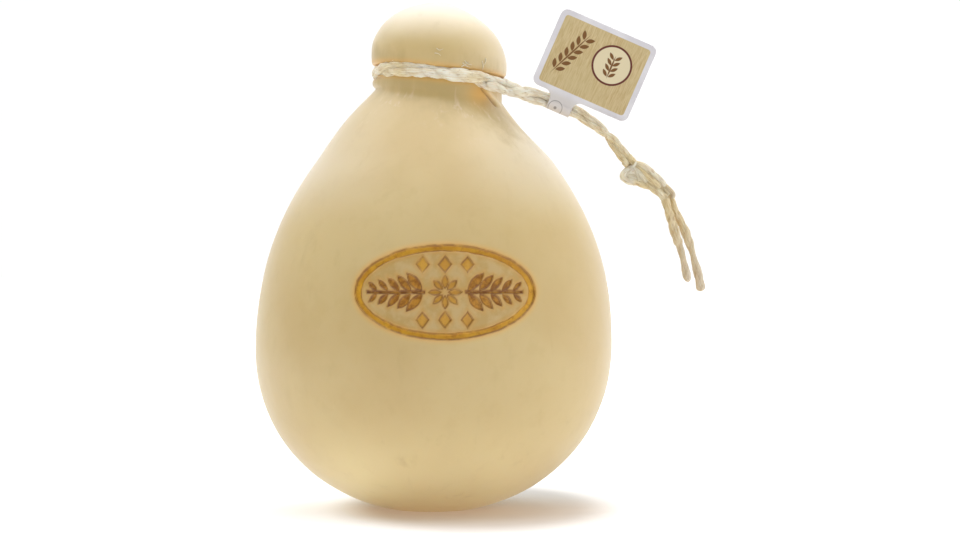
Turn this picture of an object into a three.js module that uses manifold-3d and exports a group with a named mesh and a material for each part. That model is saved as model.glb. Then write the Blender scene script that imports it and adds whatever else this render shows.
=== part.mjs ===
// A whole pear-shaped provolone with the twine that it hangs by and a card tag. Millimetres, +Z up.
// The origin is on the floor under the middle of the belly. The front, with its branded mark, faces -Y.
// The twine's free tail leaves the neck at the right front and droops to the right, along +X.

import * as THREE from "three";
import { mergeVertices } from "three/addons/utils/BufferGeometryUtils.js";
import Module from "manifold-3d";

const wasm = await Module();
wasm.setup();

// Body of the cheese, as the outline of a turned form.
const BELLY_RADIUS = 98;
const BELLY_HEIGHT = 89.6;
const BASE_DEPTH = 91.5; // of the round base below the belly, before the floor flattens it
const BASE_ROUNDNESS = 2.1; // exponent of the base's superellipse
const BELLY_RISE = 78.8; // how far the shoulder keeps the belly's upright direction
const CREASE_RADIUS = 34.8;
const CREASE_HEIGHT = 226.5;
const CREASE_FLARE = new THREE.Vector2(17.3, -22.1); // the shoulder's direction where it meets the crease

// Neck: a pinched lobe under the twine, and the groove that the twine has pressed in.
const LOBE_CENTRE = new THREE.Vector2(33.7, 229.3);
const LOBE_SIZE = 3.05;
const LOBE_FADES = 0.15; // the lobe ends between these sines of the way round from the left
const LOBE_ENDS = 0.6;
const LOBE_LIFT = 3.8; // how far the crease climbs at the front and back, where there is no lobe
const CLIMB_REACH = 22; // how far below the crease that climb begins
const TWINE_RING_RADIUS = 35.1;
const TWINE_HEIGHT = 236.75;
const TWINE_HALF_THICKNESS = 2.2;
const TWINE_HALF_WIDTH = 4.1;
const TWINE_GAP = 0.3;

// Head: a ball that is fuller on the left than on the right.
const HEAD_RADIUS = 37.3;
const HEAD_WIDEST = 247;
const TOTAL_HEIGHT = 277.2;
const HEAD_ROUNDNESS = 1.9;
const HEAD_ROUNDNESS_SWING = 0.3;
const HEAD_LIP = [
  new THREE.Vector2(35.9, 241.4),
  new THREE.Vector2(36.7, 242.5),
  new THREE.Vector2(37.15, 244.4),
];

// The form isn't upright all the way: the base sits a little to the left, the head to the right,
// and the neck's twine and creases slope down to the right.
const BASE_SHIFT = -1.4;
const BASE_SHIFT_FROM = 30;
const BASE_SHIFT_TO = 130;
const LEFT_FLATNESS = 0.011; // how much less the body reaches to the left than to the right, as a share
const HEAD_SHIFT = 2.75;
const SHOULDER_LOW = 188;
const SHOULDER_HIGH = 230;
const NECK_SLOPE = 0.11;
const SLOPE_FULL = 219;
const SLOPE_FADES = 241;
const SLOPE_ENDS = 264;

// Fineness of the turned form.
const SIDES = 60;
const BASE_STEPS = 13;
const SHOULDER_STEPS = 22;
const LOBE_STEPS = 5;
const GROOVE_STEPS = 6;
const DOME_STEPS = 9;

// Branded mark, pressed into the front: an oval band round a rosette, with a leafy sprig on each side of
// it and a row of lozenges above and below.
const MARK_CENTRE = new THREE.Vector2(7.4, 119.6); // x and height
const MARK_HALF_WIDTH = 46.7;
const MARK_HALF_HEIGHT = 24.6;
const MARK_BAND = 3.6;
const MARK_DEPTH = 1;
const MARK_SIDES = 40;
const PETALS = 8;
const PETAL_REACH = 5.2; // from the rosette's centre to the middle of a petal
const PETAL_LENGTH = 7.4;
const PETAL_WIDTH = 3.4;
const STEM_START = 10.2; // from the mark's centre
const STEM_END = 40.4;
const STEM_WIDTH = 2;
const LEAF_PAIRS = 5;
const FIRST_LEAF = 11.6; // from the mark's centre to the root of the nearest leaves
const LEAF_PITCH = 5.9;
const LEAF_LENGTH = 12.5;
const LEAF_TAPER = 1.5; // how much shorter each next pair is
const LEAF_SLIMNESS = 0.4; // width as a share of length
const LEAF_SPLAY = 0.85; // radians between a leaf and the stem
const LOZENGES = 3; // in each row
const LOZENGE_WIDTH = 7;
const LOZENGE_HEIGHT = 9.4;
const LOZENGE_PITCH = 11.6;
const LOZENGE_RISE = 14.2; // from the mark's centre to the middle of a row
const CUTTER_NEAR = -60; // the cutters run from here, inside the cheese,
const CUTTER_REACH = 60; // this far towards the front

// Twine: two strands that lie side by side round the neck and twist together in the tail.
const RING_STEPS = 60;
const RING_SECTION_SIDES = 10;
const PAIR_RADIUS = 3.7;
const STRAND_RADIUS = 2;
const HITCH_LENGTH = 12.6;
const HITCH_OUTLINE = [
  [0, 2.4],
  [0.35, 4.2],
  [0.8, 4.2],
  [1, PAIR_RADIUS],
]; // share of the crossing's length, radius there
const HITCH_CLEARANCE_RADIUS = 36.9; // keeps the crossing outside the neck

// Middle line of each free stretch, from the neck outwards.
const TAIL_ROUTE = [
  [38.6, -24.2, 229.9],
  [42, -23.6, 228.8],
  [46, -22.9, 227.5],
  [50, -22.1, 226.3],
  [54, -21.3, 225.2],
  [58, -20.5, 224],
  [62, -20, 222.9],
  [65.4, -20, 221.9],
  [68.9, -20, 220.6],
  [72.3, -20, 219.1],
  [75.8, -20, 217.4],
  [79.6, -20, 215.2],
  [83.5, -19.9, 212.5],
  [87.3, -19.7, 209.9],
  [90.9, -19.5, 207.2],
  [94.3, -19.2, 204.1],
  [97.5, -19, 200.6],
  [100.7, -18.7, 196],
  [103.8, -18.4, 192.2],
  [106.8, -18.2, 188.9],
];
const END_A_ROUTE = [
  [125.5, -20.6, 169.6],
  [126.2, -20.7, 166.7],
  [127.3, -20.6, 163.1],
  [128.4, -20.4, 159.6],
  [129.6, -20.2, 155.8],
  [130.8, -20, 151.8],
  [132.1, -19.8, 147.7],
  [133.5, -19.8, 143.4],
  [135, -20, 138.5],
  [136.1, -20.2, 133.6],
  [137.1, -20.4, 129],
  [138.2, -20.5, 124.4],
];
const END_B_ROUTE = [
  [127.6, -16.8, 172.2],
  [129, -16.6, 168.7],
  [130.6, -16.5, 164.9],
  [132.3, -16.5, 161.1],
  [134.2, -16.4, 157.3],
  [136.1, -16.3, 153.5],
  [137.8, -16.2, 149.1],
  [139.4, -16.1, 144.5],
  [140.8, -16, 139.9],
  [142, -15.9, 135.2],
  [143.4, -15.8, 130.6],
  [144.6, -15.8, 125.5],
  [145.5, -15.8, 119.3],
];
const TAIL_STEPS = 26;
const END_STEPS = 15;
const PAIR_SIDES = 10;
const STRAND_SIDES = 8;

// Knot: both strands tied over each other, with a bight that sticks out to the left.
const KNOT_START = new THREE.Vector3(107.2, -18.2, 188.6);
const KNOT_END = new THREE.Vector3(125.6, -18.6, 171.6);
const KNOT_OUTLINE = [
  [0, 3.6],
  [0.25, 4.5],
  [0.5, 4.9],
  [0.78, 4.6],
  [1, 4.3],
]; // share of the knot's length, radius there
const BIGHT_TIP = new THREE.Vector3(104.2, -19.6, 182);
const BIGHT_ROOT = new THREE.Vector3(113, -19, 180.4);
const BIGHT_RADIUS = 3.9;
const KNOT_SIDES = 12;

// Tag: a card with a tab that folds over the twine and is stuck down behind.
const TAG_FOLD = new THREE.Vector3(68.9, -20, 220.6); // where the twine runs through the fold
const TAG_TURN = THREE.MathUtils.degToRad(-23.6); // about the sight line, clockwise from the front
const TAG_LEFT = -19.4;
const TAG_RIGHT = 36.3;
const TAG_LOW = 4.4; // from the middle of the twine to the card's lower edge
const TAG_HIGH = 48.7;
const TAG_CORNER = 4;
const TAG_THICKNESS = 0.8;
const TAB_HALF_WIDTH = 6.7;
const TAB_FILLET = 4.2;
const SLEEVE_RADIUS = 4.5;
const SLEEVE_WALL = 0.4;
const SLEEVE_TOP = 11; // height at which the tab's back meets the card again
const SLEEVE_SEAM = 2; // how much lower the hollow inside the fold ends
const FOLD_RETURN = 0.35; // radians past the level of the twine at which the tab's back turns straight
const TAG_CURVE_STEPS = 5;

const RIND = new THREE.MeshStandardMaterial({ color: 0xe6d3a3, roughness: 0.5, metalness: 0 });
const TWINE = new THREE.MeshStandardMaterial({ color: 0xddd3ba, roughness: 0.85, metalness: 0 });
const CARD = new THREE.MeshStandardMaterial({ color: 0xcbbd90, roughness: 0.7, metalness: 0 });

const { smoothstep } = THREE.MathUtils;

// A closed three.js geometry as a solid that can be joined and cut.
function solidOf(geometry) {
  const bare = geometry.clone();
  bare.deleteAttribute("normal");
  bare.deleteAttribute("uv");
  const merged = mergeVertices(bare);
  return new wasm.Manifold(
    new wasm.Mesh({
      numProp: 3,
      vertProperties: merged.attributes.position.array,
      triVerts: new Uint32Array(merged.index.array),
    }),
  );
}

function geometryOf(solid) {
  const { vertProperties, triVerts } = solid.getMesh();
  const geometry = new THREE.BufferGeometry();
  geometry.setAttribute("position", new THREE.BufferAttribute(vertProperties, 3));
  geometry.setIndex(new THREE.BufferAttribute(triVerts, 1));
  geometry.computeVertexNormals();
  return geometry;
}

function moveVertices(geometry, move) {
  const position = geometry.attributes.position;
  const point = new THREE.Vector3();
  for (let i = 0; i < position.count; i += 1) {
    point.fromBufferAttribute(position, i);
    move(point);
    position.setXYZ(i, point.x, point.y, point.z);
  }
  return geometry;
}

// A profile of radii and heights, turned about the Z axis.
function turned(profile, sides) {
  return new THREE.LatheGeometry(profile, sides).rotateX(Math.PI / 2);
}

// The round base, from the middle of the flat spot up to just below the belly.
function baseProfile() {
  const power = 2 / BASE_ROUNDNESS;
  const floorTurn = Math.asin((BELLY_HEIGHT / BASE_DEPTH) ** (1 / power));
  const points = [new THREE.Vector2(0, 0)];
  for (let i = 0; i < BASE_STEPS; i += 1) {
    const turn = floorTurn * (1 - i / BASE_STEPS);
    const radius = BELLY_RADIUS * Math.cos(turn) ** power;
    const height = BELLY_HEIGHT - BASE_DEPTH * Math.sin(turn) ** power;
    points.push(new THREE.Vector2(radius, Math.max(height, 0)));
  }
  return points;
}

// The shoulder, from the belly up to the crease under the neck's lobe.
function shoulderProfile() {
  const belly = new THREE.Vector2(BELLY_RADIUS, BELLY_HEIGHT);
  const crease = new THREE.Vector2(CREASE_RADIUS, CREASE_HEIGHT);
  const curve = new THREE.CubicBezierCurve(
    belly,
    new THREE.Vector2(BELLY_RADIUS, BELLY_HEIGHT + BELLY_RISE),
    crease.clone().add(CREASE_FLARE),
    crease,
  );
  return curve.getSpacedPoints(SHOULDER_STEPS);
}

function lobeProfile() {
  const start = THREE.MathUtils.degToRad(-66);
  const end = THREE.MathUtils.degToRad(72);
  const { x, y } = LOBE_CENTRE;
  const arc = new THREE.EllipseCurve(x, y, LOBE_SIZE, LOBE_SIZE, start, end);
  return arc.getPoints(LOBE_STEPS).slice(1);
}

function grooveProfile() {
  const reach = THREE.MathUtils.degToRad(75);
  const arc = new THREE.EllipseCurve(
    TWINE_RING_RADIUS,
    TWINE_HEIGHT,
    TWINE_HALF_THICKNESS + TWINE_GAP,
    TWINE_HALF_WIDTH + TWINE_GAP,
    Math.PI + reach,
    Math.PI - reach,
    true,
  );
  return arc.getPoints(GROOVE_STEPS);
}

function domeProfile() {
  const power = 2 / HEAD_ROUNDNESS;
  const rise = TOTAL_HEIGHT - HEAD_WIDEST;
  const points = [];
  for (let i = 0; i < DOME_STEPS; i += 1) {
    const turn = (i / DOME_STEPS) * (Math.PI / 2);
    const height = HEAD_WIDEST + rise * Math.sin(turn) ** power;
    points.push(new THREE.Vector2(HEAD_RADIUS * Math.cos(turn) ** power, height));
  }
  points.push(new THREE.Vector2(0, TOTAL_HEIGHT));
  return points;
}

// The lobe stands out at the left only. At the front and back the shoulder climbs instead.
function pinch(point) {
  const reach = Math.hypot(point.x, point.y);
  const grooveEdge = TWINE_HEIGHT - TWINE_HALF_WIDTH;
  if (reach < 1 || point.z > grooveEdge) return;
  const plain = (point.y / reach) ** 2;
  const above = Math.max((point.z - CREASE_HEIGHT) / (grooveEdge - CREASE_HEIGHT), 0);
  const climb = smoothstep(point.z, CREASE_HEIGHT - CLIMB_REACH, CREASE_HEIGHT) * (1 - above);
  const lobe = above > 0 ? Math.max(reach - CREASE_RADIUS, 0) : 0;
  const lost = point.x > 0 ? 1 : smoothstep(Math.sqrt(plain), LOBE_FADES, LOBE_ENDS);
  const scale = 1 - (lobe * lost) / reach;
  point.x *= scale;
  point.y *= scale;
  point.z += LOBE_LIFT * plain * climb;
}

// The dome is boxier on the left and slopes more on the right.
function fillHead(point) {
  const reach = Math.hypot(point.x, point.y);
  if (reach === 0 || point.z <= HEAD_WIDEST) return;
  const power = HEAD_ROUNDNESS - HEAD_ROUNDNESS_SWING * (point.x / reach);
  const share = Math.min((point.z - HEAD_WIDEST) / (TOTAL_HEIGHT - HEAD_WIDEST), 1);
  const scale = (HEAD_RADIUS * (1 - share ** power) ** (1 / power)) / reach;
  point.x *= scale;
  point.y *= scale;
}

// Moves a point of the upright form to its place on the leaning one.
function lean(point) {
  const slope =
    NECK_SLOPE *
    smoothstep(point.z, SHOULDER_LOW, SLOPE_FULL) *
    (1 - smoothstep(point.z, SLOPE_FADES, SLOPE_ENDS));
  const shift =
    BASE_SHIFT * (1 - smoothstep(point.z, BASE_SHIFT_FROM, BASE_SHIFT_TO)) +
    HEAD_SHIFT * smoothstep(point.z, SHOULDER_LOW, SHOULDER_HIGH);
  point.z -= slope * point.x;
  if (point.x < 0) point.x *= 1 - LEFT_FLATNESS * (1 - smoothstep(point.z, SHOULDER_LOW, SHOULDER_HIGH));
  point.x += shift;
}

// A prism of a front-facing outline that reaches out through the front of the cheese.
function frontCutter(shape, curveSegments) {
  const prism = new THREE.ExtrudeGeometry(shape, {
    depth: CUTTER_REACH,
    bevelEnabled: false,
    curveSegments,
  });
  prism.rotateX(Math.PI / 2);
  prism.translate(MARK_CENTRE.x, CUTTER_NEAR, MARK_CENTRE.y);
  return solidOf(prism);
}

function ovalBand() {
  const band = new THREE.Shape();
  band.absellipse(0, 0, MARK_HALF_WIDTH, MARK_HALF_HEIGHT, 0, 2 * Math.PI);
  const inside = new THREE.Path();
  inside.absellipse(0, 0, MARK_HALF_WIDTH - MARK_BAND, MARK_HALF_HEIGHT - MARK_BAND, 0, 2 * Math.PI);
  band.holes.push(inside);
  return band;
}

// A kite, which serves as a petal, a leaf and a lozenge.
function kite(x, y, halfLength, halfWidth, turn) {
  const along = new THREE.Vector2(halfLength, 0).rotateAround(new THREE.Vector2(), turn);
  const across = new THREE.Vector2(0, halfWidth).rotateAround(new THREE.Vector2(), turn);
  return new THREE.Shape([
    new THREE.Vector2(x - along.x, y - along.y),
    new THREE.Vector2(x - across.x, y - across.y),
    new THREE.Vector2(x + along.x, y + along.y),
    new THREE.Vector2(x + across.x, y + across.y),
  ]);
}

function bar(x, halfLength, halfWidth) {
  const shape = new THREE.Shape();
  shape.moveTo(x - halfLength, -halfWidth);
  shape.lineTo(x + halfLength, -halfWidth);
  shape.lineTo(x + halfLength, halfWidth);
  shape.lineTo(x - halfLength, halfWidth);
  return shape;
}

function rosette() {
  const petals = [];
  for (let i = 0; i < PETALS; i += 1) {
    const turn = (2 * Math.PI * i) / PETALS;
    const x = PETAL_REACH * Math.cos(turn);
    const y = PETAL_REACH * Math.sin(turn);
    petals.push(kite(x, y, PETAL_LENGTH / 2, PETAL_WIDTH / 2, turn));
  }
  return petals;
}

// A straight stem on each side of the rosette, with pairs of leaves that get smaller towards its end.
function sprigs() {
  const shapes = [];
  const stemMiddle = (STEM_START + STEM_END) / 2;
  const stemHalf = (STEM_END - STEM_START) / 2;
  for (const side of [-1, 1]) {
    shapes.push(bar(side * stemMiddle, stemHalf, STEM_WIDTH / 2));
    for (let i = 0; i < LEAF_PAIRS; i += 1) {
      const half = (LEAF_LENGTH - LEAF_TAPER * i) / 2;
      const x = FIRST_LEAF + LEAF_PITCH * i + half * Math.cos(LEAF_SPLAY);
      const y = STEM_WIDTH / 4 + half * Math.sin(LEAF_SPLAY);
      for (const face of [-1, 1]) {
        shapes.push(kite(side * x, face * y, half, half * LEAF_SLIMNESS, side * face * LEAF_SPLAY));
      }
    }
  }
  return shapes;
}

function lozengeRows() {
  const rows = [];
  for (const face of [-1, 1]) {
    for (let i = 0; i < LOZENGES; i += 1) {
      const x = (i - (LOZENGES - 1) / 2) * LOZENGE_PITCH;
      rows.push(kite(x, face * LOZENGE_RISE, LOZENGE_HEIGHT / 2, LOZENGE_WIDTH / 2, Math.PI / 2));
    }
  }
  return rows;
}

// Everything that the mark presses in, down to a floor at an even depth below the surface.
function markCut() {
  const floorProfile = [...baseProfile(), ...shoulderProfile()];
  floorProfile.push(new THREE.Vector2(0, CREASE_HEIGHT));
  const sunk = floorProfile.map((p) => new THREE.Vector2(Math.max(p.x - MARK_DEPTH, 0), p.y));
  const floor = solidOf(moveVertices(turned(sunk, SIDES), lean));
  let cut = frontCutter(ovalBand(), MARK_SIDES);
  for (const shape of [...rosette(), ...sprigs(), ...lozengeRows()]) cut = cut.add(frontCutter(shape, 1));
  return cut.subtract(floor);
}

function cheese() {
  const profile = [
    ...baseProfile(),
    ...shoulderProfile(),
    ...lobeProfile(),
    ...grooveProfile(),
    ...HEAD_LIP,
    ...domeProfile(),
  ];
  const form = turned(profile, SIDES);
  moveVertices(form, pinch);
  moveVertices(form, fillHead);
  moveVertices(form, lean);
  return geometryOf(solidOf(form).subtract(markCut()));
}

// The turn that takes a form made along the Y axis to another direction.
function uprightTo(direction) {
  return new THREE.Quaternion().setFromUnitVectors(new THREE.Vector3(0, 1, 0), direction.normalize());
}

// A closed solid turned about the line between two points, given as shares of its length and radii.
function barrel(from, to, outline, sides) {
  const line = to.clone().sub(from);
  const profile = outline.map(([share, radius]) => new THREE.Vector2(radius, share * line.length()));
  profile.unshift(new THREE.Vector2(0, profile[0].y));
  profile.push(new THREE.Vector2(0, profile.at(-1).y));
  return new THREE.LatheGeometry(profile, sides).applyQuaternion(uprightTo(line)).translate(...from);
}

// The two strands as one oval ring in the groove, with the crossing where the tail leaves them.
function twineLoop() {
  const ring = new THREE.TorusGeometry(TWINE_RING_RADIUS, 1, RING_SECTION_SIDES, RING_STEPS);
  moveVertices(ring, (point) => {
    const reach = Math.hypot(point.x, point.y);
    const grown = TWINE_RING_RADIUS + (reach - TWINE_RING_RADIUS) * TWINE_HALF_THICKNESS;
    point.x *= grown / reach;
    point.y *= grown / reach;
    point.z = TWINE_HEIGHT + point.z * TWINE_HALF_WIDTH;
    lean(point);
  });
  const exit = new THREE.Vector3(...TAIL_ROUTE[0]);
  const leaving = new THREE.Vector3(...TAIL_ROUTE[1]).sub(exit).normalize();
  const hitchEnd = exit.clone().addScaledVector(leaving, -TWINE_GAP);
  const hitchStart = exit.clone().addScaledVector(leaving, -HITCH_LENGTH);
  const neck = new THREE.CylinderGeometry(
    HITCH_CLEARANCE_RADIUS,
    HITCH_CLEARANCE_RADIUS,
    2 * HITCH_LENGTH,
    RING_STEPS,
  );
  neck.rotateX(Math.PI / 2).translate(HEAD_SHIFT, 0, exit.z);
  const crossing = solidOf(barrel(hitchStart, hitchEnd, HITCH_OUTLINE, KNOT_SIDES));
  const hitch = crossing.subtract(solidOf(neck));
  return geometryOf(solidOf(ring).add(hitch));
}

function tube(route, radius, sides, steps) {
  const points = route.map((p) => new THREE.Vector3(...p));
  const line = new THREE.CatmullRomCurve3(points, false, "centripetal");
  const section = new THREE.Shape();
  for (let i = 0; i < sides; i += 1) {
    const turn = (2 * Math.PI * i) / sides;
    const place = [radius * Math.cos(turn), radius * Math.sin(turn)];
    if (i === 0) section.moveTo(...place);
    else section.lineTo(...place);
  }
  return new THREE.ExtrudeGeometry(section, { steps, extrudePath: line, curveSegments: 1 });
}

function knot() {
  const core = solidOf(barrel(KNOT_START, KNOT_END, KNOT_OUTLINE, KNOT_SIDES));
  const length = BIGHT_ROOT.distanceTo(BIGHT_TIP);
  const bight = new THREE.CapsuleGeometry(BIGHT_RADIUS, length - BIGHT_RADIUS, 3, KNOT_SIDES);
  const middle = BIGHT_TIP.clone().add(BIGHT_ROOT).multiplyScalar(0.5);
  bight.applyQuaternion(uprightTo(BIGHT_TIP.clone().sub(BIGHT_ROOT)));
  bight.translate(...middle);
  return geometryOf(core.add(solidOf(bight)));
}

// The card's outline with the tab that runs down from its lower edge, in the card's own plane.
function tagOutline() {
  const r = TAG_CORNER;
  const quarter = Math.PI / 2;
  const outline = new THREE.Shape();
  outline.moveTo(-TAB_HALF_WIDTH, 0);
  outline.lineTo(TAB_HALF_WIDTH, 0);
  outline.lineTo(TAB_HALF_WIDTH, TAG_LOW - TAB_FILLET);
  outline.absarc(TAB_HALF_WIDTH + TAB_FILLET, TAG_LOW - TAB_FILLET, TAB_FILLET, Math.PI, quarter, true);
  outline.absarc(TAG_RIGHT - r, TAG_LOW + r, r, -quarter, 0);
  outline.absarc(TAG_RIGHT - r, TAG_HIGH - r, r, 0, quarter);
  outline.absarc(TAG_LEFT + r, TAG_HIGH - r, r, quarter, Math.PI);
  outline.absarc(TAG_LEFT + r, TAG_LOW + r, r, Math.PI, 3 * quarter);
  outline.absarc(-TAB_HALF_WIDTH - TAB_FILLET, TAG_LOW - TAB_FILLET, TAB_FILLET, quarter, 0, true);
  return outline;
}

// Section of the folded tab round the twine, x from front to back and y up the card.
function foldSection(radius, top) {
  const section = new THREE.Shape();
  section.moveTo(-radius, top);
  section.lineTo(-radius, 0);
  section.absarc(0, 0, radius, Math.PI, 2 * Math.PI + FOLD_RETURN);
  return section;
}

function tag() {
  const card = new THREE.ExtrudeGeometry(tagOutline(), {
    depth: TAG_THICKNESS,
    bevelEnabled: false,
    curveSegments: TAG_CURVE_STEPS,
  });
  const front = SLEEVE_RADIUS + SLEEVE_WALL;
  card.translate(0, 0, front - TAG_THICKNESS);
  const section = foldSection(front, SLEEVE_TOP);
  section.holes.push(foldSection(SLEEVE_RADIUS, SLEEVE_TOP - SLEEVE_SEAM));
  const sleeve = new THREE.ExtrudeGeometry(section, {
    depth: 2 * TAB_HALF_WIDTH,
    bevelEnabled: false,
    curveSegments: 2 * TAG_CURVE_STEPS,
  });
  sleeve.translate(0, 0, -TAB_HALF_WIDTH).rotateY(Math.PI / 2);
  const bore = new THREE.CylinderGeometry(SLEEVE_RADIUS, SLEEVE_RADIUS, 4 * TAB_HALF_WIDTH, 20);
  bore.rotateZ(Math.PI / 2);
  return geometryOf(solidOf(card).add(solidOf(sleeve)).subtract(solidOf(bore)));
}

function piece(name, geometry, material) {
  const mesh = new THREE.Mesh(geometry, material);
  mesh.name = name;
  return mesh;
}

const provolone = new THREE.Group();
provolone.add(piece("cheese", cheese(), RIND));
provolone.add(piece("twine_loop", twineLoop(), TWINE));
provolone.add(piece("twine_tail", tube(TAIL_ROUTE, PAIR_RADIUS, PAIR_SIDES, TAIL_STEPS), TWINE));
provolone.add(piece("twine_knot", knot(), TWINE));
provolone.add(piece("twine_end_a", tube(END_A_ROUTE, STRAND_RADIUS, STRAND_SIDES, END_STEPS), TWINE));
provolone.add(piece("twine_end_b", tube(END_B_ROUTE, STRAND_RADIUS, STRAND_SIDES, END_STEPS), TWINE));

const hangTag = piece("tag", tag(), CARD);
hangTag.rotation.set(Math.PI / 2, 0, 0);
const tagHolder = new THREE.Group();
tagHolder.position.copy(TAG_FOLD);
tagHolder.rotation.y = -TAG_TURN;
tagHolder.add(hangTag);
provolone.add(tagHolder);

export default provolone;
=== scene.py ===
"""A whole pear-shaped provolone with its twine and card tag, as seen in a plain studio.

Metres, +Z up. The front, with the pressed mark, faces -Y, and the twine's tail hangs to the right, at +X.
"""

import math

import bpy
import numpy as np
from mathutils import Matrix, Vector


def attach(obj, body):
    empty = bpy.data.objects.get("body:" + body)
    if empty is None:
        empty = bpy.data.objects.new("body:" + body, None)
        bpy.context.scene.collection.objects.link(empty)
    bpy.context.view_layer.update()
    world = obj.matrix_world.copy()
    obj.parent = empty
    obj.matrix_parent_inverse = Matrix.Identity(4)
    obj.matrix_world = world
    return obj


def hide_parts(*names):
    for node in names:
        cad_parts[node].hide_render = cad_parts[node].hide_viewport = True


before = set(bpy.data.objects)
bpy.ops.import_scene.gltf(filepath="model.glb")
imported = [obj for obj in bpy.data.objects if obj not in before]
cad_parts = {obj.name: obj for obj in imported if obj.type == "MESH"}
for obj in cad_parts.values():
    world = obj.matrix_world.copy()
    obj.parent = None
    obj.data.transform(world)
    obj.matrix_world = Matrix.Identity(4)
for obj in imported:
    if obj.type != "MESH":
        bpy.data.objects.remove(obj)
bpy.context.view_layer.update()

MM = 0.001
TURN = 2 * math.pi


def add_object(name, data):
    made = bpy.data.objects.new(name, data)
    bpy.context.scene.collection.objects.link(made)
    return made


# ---- camera

CAMERA_PLACE = (0.0253, -1.39, 0.1309)  # level, looking along +Y
CAMERA_LENS = 94.8  # on a sensor 36 mm wide


def add_camera():
    data = bpy.data.cameras.new("camera")
    data.lens = CAMERA_LENS
    data.sensor_width = 36
    camera = add_object("camera", data)
    camera.location = CAMERA_PLACE
    camera.rotation_euler = (math.pi / 2, 0, 0)
    bpy.context.scene.camera = camera


add_camera()


# ---- small tools

def smoothstep(value, low, high):
    share = np.clip((value - low) / (high - low), 0, 1)
    return share * share * (3 - 2 * share)


def plateau(value, starts, full, fades, gone):
    """1 from full to fades, and 0 before it starts and after it has gone."""
    return smoothstep(value, starts, full) * (1 - smoothstep(value, fades, gone))


def hump(gap, width):
    """1 where the gap is 0, almost nothing where it is twice the width."""
    return np.exp(-((gap / width) ** 2))


def unit(vectors):
    return vectors / np.linalg.norm(vectors, axis=-1, keepdims=True)


def smooth_line(points, step):
    """Evenly spaced points on a smooth line through the given ones."""
    points = np.asarray(points, float)
    chords = np.linalg.norm(np.diff(points, axis=0), axis=1)
    knots = np.concatenate([[0], np.cumsum(chords)])
    slopes = np.gradient(points, knots, axis=0)
    place = np.linspace(0, knots[-1], max(round(knots[-1] / step), 2) + 1)
    i = np.clip(np.searchsorted(knots, place, side="right") - 1, 0, len(chords) - 1)
    width = chords[i][:, None]
    u = (place - knots[i])[:, None] / width
    from_start = (1 + 2 * u) * (1 - u) ** 2 * points[i] + u * (1 - u) ** 2 * width * slopes[i]
    from_end = u**2 * (3 - 2 * u) * points[i + 1] + u**2 * (u - 1) * width * slopes[i + 1]
    return from_start + from_end


def distance_along(line):
    return np.concatenate([[0], np.cumsum(np.linalg.norm(np.diff(line, axis=0), axis=1))])


LATTICE = 16  # cells to each side, after which the noise repeats


def value_noise(points, size, seed):
    """Smooth noise from -1 to 1 with lumps of the given size."""
    lattice = np.random.default_rng(seed).uniform(-1, 1, (LATTICE, LATTICE, LATTICE))
    cell = np.asarray(points, float) / size + 100
    low = np.floor(cell).astype(int)
    part = cell - low
    part = part * part * (3 - 2 * part)
    total = 0
    for corner in np.ndindex(2, 2, 2):
        weight = np.prod(np.where(np.array(corner) == 1, part, 1 - part), axis=-1)
        x, y, z = ((low + corner) % LATTICE).T
        total = total + weight * lattice[x, y, z]
    return total


class Shape:
    """Vertices and faces of one piece, gathered from its parts, with values that each vertex carries."""

    def __init__(self, *value_names):
        self.vertices = []
        self.faces = []
        self.values = {name: [] for name in value_names}
        self.count = 0

    def add(self, vertices, faces, **values):
        self.vertices.append(np.asarray(vertices, float))
        self.faces.extend([[v + self.count for v in face] for face in faces])
        for name, kept in self.values.items():
            kept.append(np.asarray(values[name], float))
        self.count += len(vertices)

    def piece(self, name, material, slot, sharp=None):
        mesh = bpy.data.meshes.new(name)
        mesh.from_pydata(np.concatenate(self.vertices).tolist(), [], self.faces)
        for value_name, kept in self.values.items():
            data = np.concatenate(kept).astype(np.float32)
            kind = "FLOAT_VECTOR" if data.ndim == 2 else "FLOAT"
            field = "vector" if data.ndim == 2 else "value"
            mesh.attributes.new(value_name, kind, "POINT").data.foreach_set(field, data.ravel())
        mesh.polygons.foreach_set("use_smooth", np.ones(len(mesh.polygons), bool))
        if sharp is not None:
            mesh.set_sharp_from_angle(angle=math.radians(sharp))
        mesh.materials.append(material)
        made = add_object(name, mesh)
        return made


def ring_faces(rows, columns):
    """Quads between rings of vertices that follow one another."""
    row = np.arange(rows - 1)[:, None] * columns
    column = np.arange(columns)[None, :]
    after = (column + 1) % columns
    quads = np.stack([row + column, row + after, row + columns + after, row + columns + column], -1)
    return quads.reshape(-1, 4).tolist()


def fanned_faces(rows, columns):
    """The same with a fan at each end, round the two vertices that come after the rings."""
    faces = ring_faces(rows, columns)
    first = rows * columns
    final = first - columns
    for i in range(columns):
        after = (i + 1) % columns
        faces.append([first, after, i])
        faces.append([first + 1, final + i, final + after])
    return faces


# ---- materials

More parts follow.
